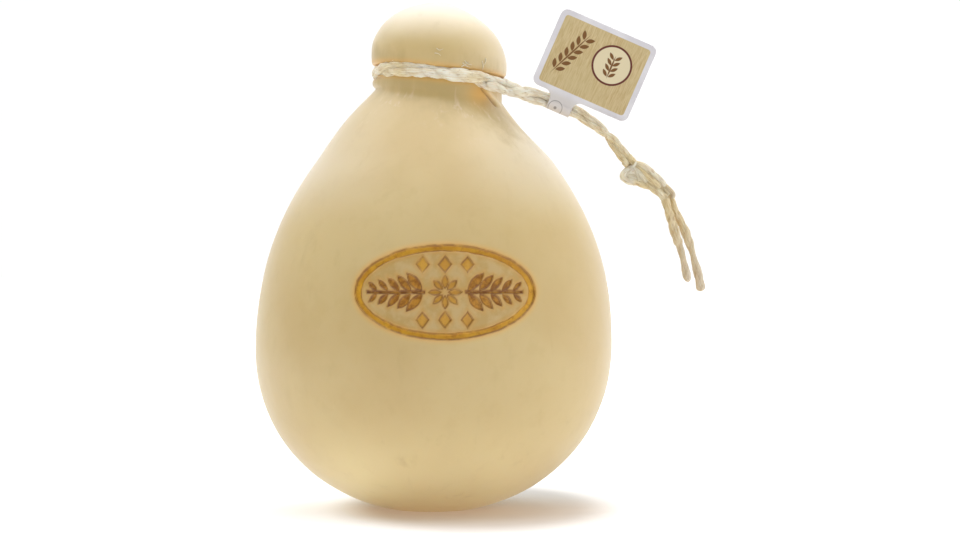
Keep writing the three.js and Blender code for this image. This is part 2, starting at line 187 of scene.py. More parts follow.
class Nodes:
    """Short calls for building one material's nodes. Inputs go by their names, with _ for a space."""

    def __init__(self, name):
        self.material = bpy.data.materials.new(name)
        self.material.use_nodes = True
        self.tree = self.material.node_tree

    def link(self, source, target):
        if isinstance(source, (int, float, tuple)):
            target.default_value = source
        else:
            self.tree.links.new(source, target)

    def feed(self, node, **inputs):
        for name, source in inputs.items():
            self.link(source, node.inputs[name.replace("_", " ")])
        return node

    def add(self, kind, **inputs):
        return self.feed(self.tree.nodes.new("ShaderNode" + kind), **inputs)

    def math(self, operation, *inputs):
        node = self.add("Math")
        node.operation = operation
        for source, socket in zip(inputs, node.inputs):
            self.link(source, socket)
        return node.outputs[0]

    def times(self, first, second):
        return self.math("MULTIPLY", first, second)

    def minus(self, first, second):
        return self.math("SUBTRACT", first, second)

    def away(self, source, centre):
        return self.math("ABSOLUTE", self.minus(source, centre))

    def length(self, x, y):
        return self.math("SQRT", self.math("ADD", self.times(x, x), self.times(y, y)))

    def carried(self, name, output="Fac"):
        """A value that the vertices carry."""
        node = self.add("Attribute")
        node.attribute_name = name
        return node.outputs[output]

    def place(self):
        return self.add("TexCoord").outputs["Object"]

    def split(self, vector):
        return self.add("SeparateXYZ", Vector=vector).outputs

    def noise(self, vector, scale, detail=3.0, rough=0.5, twist=0.0):
        """Noise of one scale, or of one for each axis."""
        if isinstance(scale, tuple):
            vector, scale = self.add("Mapping", Vector=vector, Scale=scale).outputs[0], 1.0
        node = self.add("TexNoise", Vector=vector, Scale=scale, Detail=detail, Roughness=rough)
        return self.feed(node, Distortion=twist).outputs["Fac"]

    def between(self, source, low, high, to_low=0.0, to_high=1.0):
        """The source mapped smoothly from low..high to to_low..to_high."""
        node = self.add("MapRange", Value=source, From_Min=low, From_Max=high)
        self.feed(node, To_Min=to_low, To_Max=to_high).interpolation_type = "SMOOTHSTEP"
        return node.outputs[0]

    def mix(self, share, first, second):
        node = self.add("Mix")
        node.data_type = "RGBA"
        for source, socket in ((share, 0), (first, 6), (second, 7)):  # the sockets of a mix of colours
            self.link(source, node.inputs[socket])
        return node.outputs[2]

    def bump(self, height, distance, strength, **after):
        return self.add("Bump", Distance=distance, Strength=strength, Height=height, **after).outputs[0]

    def finish(self, tone, roughness, **others):
        self.feed(self.tree.nodes["Principled BSDF"], Base_Color=tone, Roughness=roughness, **others)
        return self.material


def colour(red, green, blue):
    """A display colour, 0 to 255, as the linear one that a shader takes."""
    def linear(level):
        share = level / 255
        return share / 12.92 if share <= 0.04045 else ((share + 0.055) / 1.055) ** 2.4
    return (linear(red), linear(green), linear(blue), 1.0)


# How light spreads beneath the surface of the twine and the rind.
SOFT = {"Subsurface_Scale": 0.0015, "Subsurface_Radius": (1.0, 0.75, 0.5)}


def twine_material():
    n = Nodes("twine")
    strand = n.carried("strand", "Vector")
    age = n.carried("age")
    deep = n.carried("deep")
    streaks = n.noise(strand, (300, 4, 4), 4, 0.6)
    threads = n.noise(strand, (130, 9, 9), 3, 0.6, 0.5)
    patches = n.noise(n.place(), 160, 2)
    fresh = n.mix(n.between(threads, 0.35, 0.68), colour(255, 252, 238), colour(246, 232, 200))
    aged = n.mix(n.between(threads, 0.35, 0.68), colour(252, 237, 196), colour(216, 188, 126))
    worn = n.math("ADD", age, n.times(n.minus(patches, 0.5), 1.2))
    tone = n.mix(n.between(worn, 0.0, 1.0), fresh, aged)
    tone = n.mix(n.between(age, 1.0, 2.0, 0, 0.9), tone, colour(219, 207, 196))
    tone = n.mix(n.between(streaks, 0.53, 0.72, 0, 0.72), tone, colour(184, 150, 98))
    tone = n.mix(n.between(streaks, 0.3, 0.42, 0.5, 0), tone, colour(255, 251, 240))
    # Painted shade down between the plies and where two strands touch.
    tone = n.mix(n.times(deep, 0.7), tone, colour(184, 148, 90))
    normal = n.bump(threads, 0.0008, 0.7)
    normal = n.bump(streaks, 0.0004, 0.5, Normal=normal)
    return n.finish(tone, 0.75, Normal=normal, Sheen_Weight=0.2, Subsurface_Weight=0.2, **SOFT)


def rind_material():
    n = Nodes("rind")
    place = n.place()
    x, _, z = n.split(place)
    wide = n.noise(place, 13, 3)
    fine = n.noise(place, 85, 4, 0.6)
    cream = n.mix(n.between(wide, 0.35, 0.65), colour(210, 184, 128), colour(216, 193, 139))
    cream = n.mix(n.between(fine, 0.45, 0.8, 0, 0.3), cream, colour(202, 176, 118))

    # Paler at the top, as a painted highlight, and on both sides of the shoulder and neck, as painted
    # sheen.
    painted_highlight = colour(250, 243, 230)
    cream = n.mix(n.between(z, 0.25, 0.279, 0, 0.75), cream, painted_highlight)
    right_sheen_mask = n.times(n.between(x, 0.004, 0.066), n.between(z, 0.15, 0.2, 0, 0.5))
    left_sheen_mask = n.times(n.between(x, -0.012, -0.07, 0, 0.36), n.between(z, 0.15, 0.19))
    cream = n.mix(n.math("MAXIMUM", right_sheen_mask, left_sheen_mask), cream, painted_highlight)
    # Paler low on the middle of the belly: painted light bounced up from the floor.
    inward = n.between(n.math("ABSOLUTE", x), 0.03, 0.085, 1, 0)
    cream = n.mix(n.times(n.between(z, 0, 0.065, 1, 0), inward), cream, colour(255, 239, 188))

    # Tan drips and scuffs near the twine, and the stain that it leaves; the tan is partly painted shade,
    # and the stain partly painted warm light.
    drips = n.noise(place, (110, 110, 45), 3, 0.6, 0.3)
    worn = n.math("ADD", n.carried("tan"), n.times(n.minus(drips, 0.5), 1.3))
    cream = n.mix(n.between(worn, 0.05, 0.95, 0, 0.8), cream, colour(189, 165, 110))
    scuff = n.noise(place, (260, 260, 40), 3, 0.6, 0.4)
    where = n.between(n.noise(place, 45, 1), 0.5, 0.62)
    high = n.times(n.between(z, 0.19, 0.215), n.between(z, 0.231, 0.236, 1, 0))
    high = n.times(n.times(high, where), n.between(scuff, 0.52, 0.72))
    cream = n.mix(n.times(high, 0.25), cream, colour(240, 222, 200))
    cream = n.mix(n.carried("stain"), cream, colour(228, 174, 82))

    # The pressed mark: its ground, its golden and brown forms and their dark outlines.
    gold = n.mix(n.between(fine, 0.35, 0.65), colour(228, 174, 48), colour(208, 150, 32))
    specks = n.noise(place, 330, 3, 0.6)
    gold = n.mix(n.between(specks, 0.5, 0.68, 0, 0.5), gold, colour(178, 116, 22))
    brown = n.mix(n.between(specks, 0.36, 0.62), colour(204, 146, 44), colour(156, 98, 22))
    mottle = n.noise(place, 120, 3, 0.6)
    ground = n.mix(n.between(mottle, 0.4, 0.62), colour(202, 174, 120), colour(190, 156, 92))
    tone = n.mix(n.carried("inner"), cream, ground)
    tone = n.mix(n.times(n.carried("inner"), n.carried("stain")), tone, colour(206, 156, 72))
    tone = n.mix(n.carried("gold"), tone, gold)
    tone = n.mix(n.carried("brown"), tone, brown)
    broken = n.between(n.noise(place, 210, 2), 0.32, 0.56, 0.45, 1)
    # This dark colour also lines the rind's crease, as painted shade.
    tone = n.mix(n.times(n.carried("edge"), broken), tone, colour(116, 62, 2))

    normal = n.bump(wide, 0.0012, 0.2)
    normal = n.bump(fine, 0.0003, 0.3, Normal=normal)
    rough = n.between(wide, 0.3, 0.7, 0.36, 0.46)
    sheen = n.between(n.carried("edge"), 0, 0.4, 0.28, 0)
    waxy = {"Sheen_Weight": sheen, "Sheen_Roughness": 0.35, "Subsurface_Weight": 0.3}
    return n.finish(tone, rough, Normal=normal, **waxy, **SOFT)


# ---- twine: where it runs

STRAND = 2.25 * MM  # radius
PAIR_SIDE = 1.85 * MM  # how far a strand lies above or below the middle of the pair
PAIR_DEPTH = 1.3 * MM  # how far it lies in front of it or behind it
STEP = 0.6 * MM  # along a strand

# The middle line of the pair and of each end, as the frame's solids have it.
TAIL_ROUTE = [
    (0.0386, -0.0242, 0.2299), (0.0420, -0.0236, 0.2288), (0.0460, -0.0229, 0.2275),
    (0.0500, -0.0221, 0.2263), (0.0540, -0.0213, 0.2252), (0.0580, -0.0205, 0.2240),
    (0.0620, -0.0200, 0.2229), (0.0654, -0.0200, 0.2219), (0.0689, -0.0200, 0.2206),
    (0.0723, -0.0200, 0.2191), (0.0758, -0.0200, 0.2174), (0.0796, -0.0200, 0.2152),
    (0.0835, -0.0199, 0.2125), (0.0873, -0.0197, 0.2099), (0.0909, -0.0195, 0.2072),
    (0.0943, -0.0192, 0.2041), (0.0975, -0.0190, 0.2006), (0.1007, -0.0187, 0.1960),
    (0.1038, -0.0184, 0.1922), (0.1068, -0.0182, 0.1889),
]
END_A_ROUTE = [
    (0.1255, -0.0206, 0.1696), (0.1262, -0.0207, 0.1667), (0.1273, -0.0206, 0.1631),
    (0.1284, -0.0204, 0.1596), (0.1296, -0.0202, 0.1558), (0.1308, -0.0200, 0.1518),
    (0.1321, -0.0198, 0.1477), (0.1335, -0.0198, 0.1434), (0.1350, -0.0200, 0.1385),
    (0.1361, -0.0202, 0.1336), (0.1371, -0.0204, 0.1290), (0.1382, -0.0205, 0.1244),
]
END_B_ROUTE = [
    (0.1276, -0.0168, 0.1722), (0.1290, -0.0166, 0.1687), (0.1306, -0.0165, 0.1649),
    (0.1323, -0.0165, 0.1611), (0.1342, -0.0164, 0.1573), (0.1361, -0.0163, 0.1535),
    (0.1378, -0.0162, 0.1491), (0.1394, -0.0161, 0.1445), (0.1408, -0.0160, 0.1399),
    (0.1420, -0.0159, 0.1352), (0.1434, -0.0158, 0.1306), (0.1446, -0.0158, 0.1255),
    (0.1455, -0.0158, 0.1193),
]

# The pair round the neck, before the neck's lean. It starts under its own crossing at the right front, goes
# round behind the neck and across the front, and leaves along the tail's route.
HEAD_SHIFT = 2.75 * MM
NECK_SLOPE = 0.11
TWINE_HEIGHT = 236.75 * MM
WRAP_RADIUS = 34.9 * MM
WRAP_START = math.radians(-44)
WRAP_LEAVES = math.radians(288)
WRAP_STEPS = 40
FRONT_BULGE = 1.3 * MM  # how much farther out the pair lies at the front
BULGE_GROWS = (math.radians(195), math.radians(235))
LEFT_TIGHTNESS = 1.7 * MM  # how much farther in it lies at the left
LEFT_SAG = 1.3 * MM  # how much lower it lies at the left
LEFT_REACH = 0.6  # radians in which both of these fade
UNDER_DROP = 1.6 * MM  # how much lower its start lies, pushed down by the crossing
UNDER_REACH = 0.9  # radians in which it comes back up
LEAVING = [(0.0222, -0.0318, 0.2342), (0.0305, -0.0280, 0.2318)]  # between the wrap and the tail

# How the pair turns about its middle line: millimetres from the exit, and the first strand's turn in
# degrees. At 90 that strand is the upper one, at 0 it lies in front and at -90 it is the lower one.
PAIR_TURNS = [
    (-240, -640), (-95, -200), (-74, -150), (-59, -100), (-42, -62), (-28, -18), (-20, 5), (-13, 66),
    (-4, 92), (4, 118), (9, 180), (14, 248), (20, 266), (46, 270), (55, 300), (62, 352), (70, 436),
    (86, 478),
]
TURN_BLUR = 4  # steps to each side over which the turning is evened out
CROSSING_FLARE = 0.32  # how much a strand spreads where one lies in front of the other
TAIL_NARROWS = 0.3  # how much closer the strands lie past the tag
FRONT_SPAN = (-82, -66, -24, -8)  # millimetres from the exit between which one strand is thick and low
FRONT_OFFSETS = (-0.3, 0.22)  # how much nearer to the middle line it lies, and how much farther the other
FRONT_GIRTHS = (0.28, -0.2)  # how much thicker it is, and how much thinner the other
FACING = (-30 * MM, 5 * MM)  # distances from the exit: here out from the neck becomes towards the front
NARROWING = (34 * MM, 44 * MM)  # and here the strands come closer together


def wrap_line():
    turn = np.linspace(WRAP_START, WRAP_LEAVES, WRAP_STEPS)
    at_left = hump(turn - math.pi, LEFT_REACH)
    under = 1 - smoothstep(turn, WRAP_START, WRAP_START + UNDER_REACH)
    radius = WRAP_RADIUS + FRONT_BULGE * smoothstep(turn, *BULGE_GROWS) - LEFT_TIGHTNESS * at_left
    x = radius * np.cos(turn)
    y = radius * np.sin(turn)
    z = TWINE_HEIGHT - UNDER_DROP * under - LEFT_SAG * at_left - NECK_SLOPE * x
    return np.concatenate([np.stack([x + HEAD_SHIFT, y, z], -1), LEAVING])


def pair_strands():
    """Each strand's middle line, the way and amount it is flattened and its girth, and the exit's index."""
    line = smooth_line(np.concatenate([wrap_line(), TAIL_ROUTE]), STEP)
    exit_index = int(np.argmin(np.linalg.norm(line - TAIL_ROUTE[0], axis=1)))
    along = distance_along(line)
    from_exit = along - along[exit_index]
    heading = unit(np.gradient(line, axis=0))
    radial = line - [HEAD_SHIFT, 0, 0]
    radial[:, 2] = 0
    forward = smoothstep(from_exit, *FACING)[:, None]
    outward = unit(radial) * (1 - forward) + np.array([0, -1.0, 0]) * forward
    outward = unit(outward - heading * np.sum(outward * heading, -1, keepdims=True))
    upward = unit(np.cross(outward, heading))
    upward *= np.sign(upward[:, 2:])
    known, turns = np.array(PAIR_TURNS).T
    padded = np.pad(np.interp(from_exit / MM, known, turns), TURN_BLUR, mode="edge")
    window = 2 * TURN_BLUR + 1
    turn = np.radians(np.convolve(padded, np.ones(window) / window, mode="valid"))
    past_tag = smoothstep(from_exit, *NARROWING)
    flare = 1 + CROSSING_FLARE * np.cos(turn) ** 2 * (1 - past_tag)
    in_front = plateau(from_exit / MM, *FRONT_SPAN)
    strands = []
    for phase, offset, girth in zip((0, math.pi), FRONT_OFFSETS, FRONT_GIRTHS):
        apart = (1 - TAIL_NARROWS * past_tag) * (1 + offset * in_front)
        up = PAIR_SIDE * (apart * np.sin(turn + phase))[:, None] * upward
        out = PAIR_DEPTH * (apart * np.cos(turn + phase))[:, None] * outward
        strands.append((line + up + out, upward, flare, 1 + girth * in_front))
    return strands, exit_index


def carried_frame(line):
    """Two directions across the line at each point, that don't twist about it."""
    heading = unit(np.gradient(line, axis=0))
    side = np.cross(heading[0], [0.0, 1.0, 0.0])
    sides = []
    for direction in heading:
        side = side - direction * (side @ direction)
        side = side / np.linalg.norm(side)
        sides.append(side)
    return np.array(sides), np.cross(heading, sides)


def spokes(line, turn):
    """The directions out from each point of the line, at the given turns."""
    sides, others = carried_frame(line)
    return np.cos(turn)[None, :, None] * sides[:, None] + np.sin(turn)[None, :, None] * others[:, None]


def strand_places(along, turn, radius):
    """What the twine's noise goes by: how far along a strand a place lies, and where round it."""
    places = np.broadcast_arrays(along[:, None], radius * np.cos(turn), radius * np.sin(turn))
    return np.stack(places, -1).reshape(-1, 3)


YARN_SIDES = 22
YARN_LAY = 20 * MM  # length of one turn of the plies in a strand
LAY_SWAY = 0.7  # radians by which that turning is uneven
PLY_GROOVE = 0.23  # depth between the plies, as a share of the radius
PLY_CURVE = 0.8  # the groove is sharper the lower this is
PLY_GIRTH = 1.07  # over the plies, as a share of the radius
PLY_RIDGES = 5  # ridges of fibre round a strand that follow its plies
CROSS_RIDGES = 9  # and fainter ones that cross them
CROSS_LAY = 11 * MM  # length in which one of those passes on to the next
FIBRE_RELIEF = 0.03
THICK_AND_THIN = 0.035
EVEN = ((0, 1), (1, 1))
PLY_SHADE = 0.45  # how dark it is between the plies
TOUCH_SHADE = 0.45  # and where two strands touch
TOUCHING = (0.3, 0.85)  # cosines of the way towards the strand beside, between which it gets dark
BLUNT_REACH = 1.1  # length of a rounded end, as a share of the radius
BLUNT_DEPTH = 0.97  # how much of the square of the radius is lost at its tip


def yarn_radius(along, turn, radius, seed):
    """Radius of a strand of two plies with ridges of fibre, a little uneven along its length, and how far
    down between the plies each place is, from 0 to 1."""
    shifts = np.random.default_rng(seed).uniform(0, TURN, 6)
    lay = turn - TURN * along / YARN_LAY + shifts[0] + LAY_SWAY * np.sin(along / (6.5 * MM) + shifts[5])
    groove = 1 - np.abs(np.cos(lay)) ** PLY_CURVE
    plies = 1 - PLY_GROOVE * groove
    ridges = np.cos(PLY_RIDGES * lay + shifts[1] + 1.5 * np.sin(along / (4 * MM)))
    ridges = ridges + 0.8 * np.cos(CROSS_RIDGES * turn - TURN * along / CROSS_LAY + shifts[2])
    uneven = np.sin(along / (3.1 * MM) + shifts[3]) + np.sin(along / (5.3 * MM) + shifts[4])
    return radius * (PLY_GIRTH * plies + FIBRE_RELIEF * ridges + THICK_AND_THIN * uneven), groove


def add_yarn(shape, line, radius, seed, age, girth=EVEN, blunt=(False, False), spread=None, beside=None):
    """One strand along the line. Age and girth are given for shares of its length. Blunt says whether its
    start and its end are rounded, spread is the way and the amount by which it is flattened, and beside is
    the line of a strand that it touches."""
    along = distance_along(line)
    share = along / along[-1]
    turn = np.linspace(0, TURN, YARN_SIDES, endpoint=False)
    reach, groove = yarn_radius(along[:, None], turn[None, :], radius, seed)
    reach *= np.interp(share, *np.array(girth, float).T)[:, None]
    for rounded, gap in zip(blunt, (along, along[-1] - along)):
        if rounded:
            rest = np.clip(gap / (BLUNT_REACH * radius), 0, 1)
            reach *= np.sqrt(1 - (1 - rest) ** 2 * BLUNT_DEPTH)[:, None]
    across = spokes(line, turn)
    offsets = reach[..., None] * across
    # Painted shade: darker down between the plies, and on the side that faces the strand beside.
    deep = PLY_SHADE * groove**2
    if beside is not None:
        facing = np.sum(across * unit(beside - line)[:, None], axis=-1)
        deep = np.maximum(deep, TOUCH_SHADE * smoothstep(facing, *TOUCHING))
    if spread is not None:
        way, amount = spread
        part = np.sum(offsets * way[:, None], axis=-1, keepdims=True)
        offsets = offsets + (amount[:, None, None] - 1) * part * way[:, None]
    vertices = np.concatenate([(line[:, None] + offsets).reshape(-1, 3), line[:1], line[-1:]])
    places = np.concatenate([strand_places(along, turn, 1), [[0, 0, 0]], [[along[-1], 0, 0]]])
    ages = np.interp(share, *np.array(age, float).T)
    ages = np.concatenate([np.repeat(ages, YARN_SIDES), ages[:1], ages[-1:]])
    deep = np.concatenate([deep.ravel(), [0, 0]])
    shape.add(vertices, fanned_faces(len(line), YARN_SIDES), strand=places, age=ages, deep=deep)


FIBRE_SIDES = 4
FIBRE_STEPS = 7
FIBRE_RADIUS = 0.11 * MM
FIBRE_TIP = 0.35  # its share of the radius at its tip
FIBRE_EVENNESS = 0.1  # how little the noise changes round a fibre


def add_fibre(shape, points, radius, age):
    """One loose fibre through the points, thinning to its tip."""
    line = smooth_line(points, distance_along(np.asarray(points, float))[-1] / FIBRE_STEPS)
    turn = np.linspace(0, TURN, FIBRE_SIDES, endpoint=False)
    reach = radius * np.linspace(1, FIBRE_TIP, len(line))
    vertices = (line[:, None] + reach[:, None, None] * spokes(line, turn)).reshape(-1, 3)
    count = len(vertices)
    faces = ring_faces(len(line), FIBRE_SIDES)
    faces.append(list(range(FIBRE_SIDES))[::-1])
    faces.append(list(range(count - FIBRE_SIDES, count)))
    places = strand_places(distance_along(line), turn, FIBRE_EVENNESS)
    shape.add(vertices, faces, strand=places, age=np.full(count, age), deep=np.zeros(count))


FUZZ_LENGTHS = (2.5, 7)  # millimetres
FUZZ_LIFTS = (0.15, 0.5)  # how much a fibre rises as a share of its length
FUZZ_ROOT = 0.85  # share of the strand's radius


def add_fuzz(shape, line, radius, count, seed):
    """Short loose fibres that lie along a strand and lift off it a little."""
    rng = np.random.default_rng(seed)
    heading = unit(np.gradient(line, axis=0))
    sides, others = carried_frame(line)
    for _ in range(count):
        at = int(rng.integers(2, len(line) - 3))
        turn = rng.uniform(0, TURN)
        across = math.cos(turn) * sides[at] + math.sin(turn) * others[at]
        lean = rng.choice([-1, 1]) * heading[at] + rng.uniform(-0.5, 0.5) * np.cross(across, heading[at])
        length = rng.uniform(*FUZZ_LENGTHS) * MM
        lift = rng.uniform(*FUZZ_LIFTS)
        start = line[at] + across * radius * FUZZ_ROOT
        middle = start + (lean + across * lift) * length * 0.5
        end = start + (lean * 0.9 + across * lift * rng.uniform(0.4, 1.6)) * length
        add_fibre(shape, [start, middle, end], FIBRE_RADIUS * rng.uniform(0.6, 1), rng.uniform(0, 0.7))


# ---- twine: its pieces

KNOT_START = np.array([107.2, -18.2, 188.6]) * MM
NUB_YARN = 1.3 * MM

# Strands in the knot, from its start: to the right, up and towards the front, in millimetres.
KNOT_CORES = [
    [
        (-1.6, 3.4, 0.6), (0.9, 1.1, 0.6), (4.5, -2.2, 0.8), (9, -6.3, 0.3),
        (13.5, -10.5, -0.5), (17.5, -13.8, -1.2), (20.6, -17, -1.4),
    ],
    [
        (-3.4, 1.5, -0.5), (-1.2, -0.9, -0.6), (2.5, -4.6, -0.3), (7, -8.8, 0.3),
        (11.5, -12.6, 1.2), (15.5, -16, 2.0), (18.4, -19.3, 2.4),
    ],
]
# Around the cores: the bight that sticks out at the left, the strands over it and thin ones across them.
# Each has its radius in millimetres and how aged it is from its start to its end.
KNOT_WRAPS = [
    (2.2, ((0, 1.2), (0.32, 0.9), (0.42, -0.4), (0.7, -0.3), (1, 0.6)), [
        (14.1, -13.8, -1.8), (10.3, -12.3, 0.6), (6.5, -11.1, 1.7), (2.7, -9.9, 1.6),
        (-1.2, -9.0, 1.0), (-3.9, -6.6, 0.7), (-2.3, -4.2, 1.2), (0.8, -3.4, 2.0),
        (3.8, -4.8, 2.4), (6.6, -7.4, 2.2), (9.2, -10.2, 1.4),
    ]),
    (1.9, ((0, -0.4), (0.5, 0.3), (1, 1.1)), [
        (-2.2, -6.5, 0.6), (1.6, -7.2, 1.5), (5.6, -8.9, 2.1), (9.4, -11.4, 1.8),
    ]),
    (1.8, ((0, 0.7), (0.4, 0.3), (0.8, 0.2), (1, -0.3)), [
        (1.2, -0.2, 0.6), (4.5, -0.5, 2.0), (8.0, -2.5, 2.8), (11.8, -5.5, 2.8),
        (15.5, -8.7, 2.2), (18.8, -12.2, 1.4),
    ]),
    (1.75, ((0, 0.6), (0.5, 1.0), (1, 0.8)), [
        (1.6, -1.4, 1.8), (5.2, -3.8, 2.8), (9.0, -7.0, 3.2), (12.6, -10.2, 3.0), (16.0, -13.2, 2.0),
    ]),
    (0.8, ((0, -0.4), (1, 0.1)), [(-2.4, -5.9, 2.6), (-0.4, -3.8, 3.6), (1.4, -1.6, 3.8), (2.9, 0.9, 2.4)]),
    (0.6, ((0, 0), (1, 0.5)), [(0.6, -1.6, 3.8), (2.4, -4.6, 4.4), (3.6, -8.0, 3.8), (4.4, -10.6, 2.8)]),
]
KNOT_NUB = [(17.9, -11.2, -0.6), (21.0, -14.2, 0.2), (22.8, -16.6, 0.4), (22.6, -19.0, 0.2)]


def knot_line(points):
    to_frame = np.array([[1.0, 0, 0], [0, 0, 1.0], [0, -1.0, 0]])
    return smooth_line(KNOT_START + np.array(points) * MM @ to_frame, STEP)


# Loose fibres on the head and under the twine, given from the front: across and up, in millimetres.
HEAD_FIBRES = [
    [(16.0, 242.0), (17.6, 240.6), (20.0, 239.6)],
    [(15.4, 239.9), (17.8, 241.3), (19.6, 242.6)],
    [(17.0, 243.2), (18.6, 241.6), (21.0, 241.0)],
    [(28.4, 245.0), (28.3, 243.2), (27.6, 241.4)],
    [(26.4, 243.4), (27.0, 241.0), (26.6, 238.4)],
    [(2.0, 249.6), (3.4, 248.6), (5.6, 249.2)],
    [(1.0, 247.0), (3.2, 246.6), (4.4, 245.4)],
]
HEAD_REACH = 37.45 * MM  # from the head's axis, just proud of its skin
HEAD_FIBRE_RADIUS = 0.28 * MM
HEAD_FIBRE_AGE = 0.3


def on_head(points):
    """Places on the front of the head."""
    x, z = np.array(points).T * MM
    y = -np.sqrt(HEAD_REACH**2 - (x - HEAD_SHIFT) ** 2)
    return np.stack([x, y, z], -1)


# How aged the strands are, from below 0 for fresh to above 1 for grey, and how thick, at shares of their
# length.
NECK_AGE = ((0, 0.3), (0.66, 0.4), (0.73, 0.9), (0.79, 0.1), (0.84, 0), (0.9, 0.5), (0.96, 0.1), (1, -0.4))
TAIL_AGE = ((0, -0.5), (0.3, -0.1), (0.45, 0.4), (0.75, 0.55), (1, 0.9))
CORE_AGE = ((0, 0.9), (0.5, 1.0), (1, 0.5))
END_AGE = ((0, 1.1), (0.5, 1.4), (1, 1.6))
END_A_GIRTH = ((0, 0.95), (0.2, 1.02), (0.53, 1.12), (0.56, 0.82), (0.8, 0.82), (0.92, 0.95), (1, 0.9))
END_B_GIRTH = ((0, 0.9), (0.3, 0.98), (0.5, 1.05), (0.58, 0.8), (0.7, 0.82), (0.86, 1.1), (1, 1.1))
TAIL_GIRTH = ((0, 1), (0.42, 1), (0.52, 0.86), (1, 0.88))

# The lower strand where it comes out from behind the pair and turns into the tail, in millimetres.
CURL = np.array([
    (28.3, -30.9, 230.7), (31.8, -29.8, 230.4), (35.6, -27.6, 229.0),
    (40.4, -25.0, 227.4), (44.7, -23.4, 226.3),
])
CURL_YARN = 2.1 * MM
CURL_AGE = ((0, -0.5), (0.4, -0.4), (1, -0.3))

BOTH = (True, True)

# Loose fibres on each strand.
NECK_FUZZ = 40
TAIL_FUZZ = 14
CORE_FUZZ = 6
WRAP_FUZZ = 5
END_FUZZ = 7


def make_twine():
    """The twine's pieces. Each strand has its own random seed, and so has its fuzz."""
    material = twine_material()
    strands, exit_index = pair_strands()
    loop, tail, fibres, knot = (Shape("strand", "age", "deep") for _ in range(4))
    near = slice(0, exit_index + 3)  # a little past the exit, so that there is no gap
    far = slice(exit_index, None)
    for i, (strand, way, amount, girth) in enumerate(strands):
        other = strands[1 - i][0]
        uneven = np.stack([np.linspace(0, 1, exit_index + 3), girth[near]], -1)
        flat = (way[near], amount[near])
        add_yarn(loop, strand[near], STRAND, 11 + i, NECK_AGE, uneven, (True, False), flat, other[near])
        add_fuzz(loop, strand[near], STRAND, NECK_FUZZ, 21 + i)
        flat = (way[far], amount[far])
        add_yarn(tail, strand[far], STRAND, 13 + i, TAIL_AGE, TAIL_GIRTH, spread=flat, beside=other[far])
        add_fuzz(fibres, strand[far], STRAND, TAIL_FUZZ, 23 + i)
    curl = smooth_line(CURL * MM, STEP)
    add_yarn(loop, curl, CURL_YARN, 15, CURL_AGE, blunt=BOTH, beside=curl + [0, 0, STRAND])
    for points in HEAD_FIBRES:
        add_fibre(loop, on_head(points), HEAD_FIBRE_RADIUS, HEAD_FIBRE_AGE)
    for i, points in enumerate(KNOT_CORES):
        line = knot_line(points)
        add_yarn(knot, line, STRAND, 31 + i, CORE_AGE)
        add_fuzz(fibres, line, STRAND, CORE_FUZZ, 41 + i)
    for i, (radius, age, points) in enumerate(KNOT_WRAPS):
        line = knot_line(points)
        add_yarn(knot, line, radius * MM, 33 + i, age, blunt=BOTH)
        add_fuzz(fibres, line, radius * MM, WRAP_FUZZ, 43 + i)
    add_yarn(knot, knot_line(KNOT_NUB), NUB_YARN, 40, END_AGE, blunt=BOTH)
    loop_piece = loop.piece("neck_twine", material, "twine")
    tail_piece = tail.piece("twine_pair", material, "twine")
    knot_piece = knot.piece("tied_knot", material, "twine")
    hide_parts("twine_loop")
    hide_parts("twine_tail")
    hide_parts("twine_knot")
    ends = []
    for name, route, girth in (("end_a", END_A_ROUTE, END_A_GIRTH), ("end_b", END_B_ROUTE, END_B_GIRTH)):
        end = Shape("strand", "age", "deep")
        line = smooth_line(route, STEP)
        add_yarn(end, line, STRAND, 51 + len(ends), END_AGE, girth, blunt=(False, True))
        add_fuzz(fibres, line, STRAND, END_FUZZ, 61 + len(ends))
        ends.append(end.piece("loose_" + name, material, "twine"))
        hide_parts("twine_" + name)
    fibre_piece = fibres.piece("loose_fibres", material, "twine")
    for piece in (loop_piece, tail_piece, knot_piece, *ends, fibre_piece):
        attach(piece, "root")
    return tail_piece, [knot_piece, fibre_piece], ends


tail_piece, pieces_on_tail, end_pieces = make_twine()


# ---- cheese: its form

BELLY_RADIUS = 98 * MM
BELLY_HEIGHT = 89.6 * MM
BASE_DEPTH = 91.5 * MM
BASE_ROUNDNESS = 2.1
BELLY_RISE = 78.8 * MM
CREASE_RADIUS = 34.8 * MM
CREASE_HEIGHT = 226.5 * MM
CREASE_FLARE = (17.3 * MM, -22.1 * MM)
LOBE_CENTRE = (33.7 * MM, 229.3 * MM)
LOBE_SIZE = 3.05 * MM
LOBE_ARC = (-66, 72, 60)  # degrees from and to, and steps
LOBE_FADES = (0.15, 0.6)  # the lobe ends between these sines of the way round from the left
FRONT_FULLNESS = 2.6 * MM  # how much farther out the neck's wall stands at the front and back
FRONT_FILLET = 4 * MM  # how softly the shoulder runs into that wall
WALL_TOP = TWINE_HEIGHT - 3 * MM
GROOVE_CENTRE = (35.1 * MM, 235.95 * MM)
GROOVE_DEPTH = 2.5 * MM
GROOVE_HALF_WIDTH = 3.6 * MM
GROOVE_ARC = (255, 105, 80)
HEAD_RADIUS = 37.3 * MM
HEAD_WIDEST = 247 * MM
TOTAL_HEIGHT = 277.2 * MM
HEAD_ROUNDNESS = 1.9
HEAD_ROUNDNESS_SWING = 0.3
HEAD_LIP = [(36.1 * MM, 239.9 * MM), (36.9 * MM, 240.9 * MM), (37.25 * MM, 243.2 * MM)]
LIP_TILT = 0.9 * MM  # how much higher the head's lip is at the right than the neck's slope has it
LIP_HEIGHT = 241 * MM
LIP_REACH = 2.5 * MM
BASE_SHIFT = -1.4 * MM
BASE_SHIFT_RANGE = (30 * MM, 130 * MM)
LEFT_FLATNESS = 0.011  # how much less the body reaches to the left than to the right, as a share
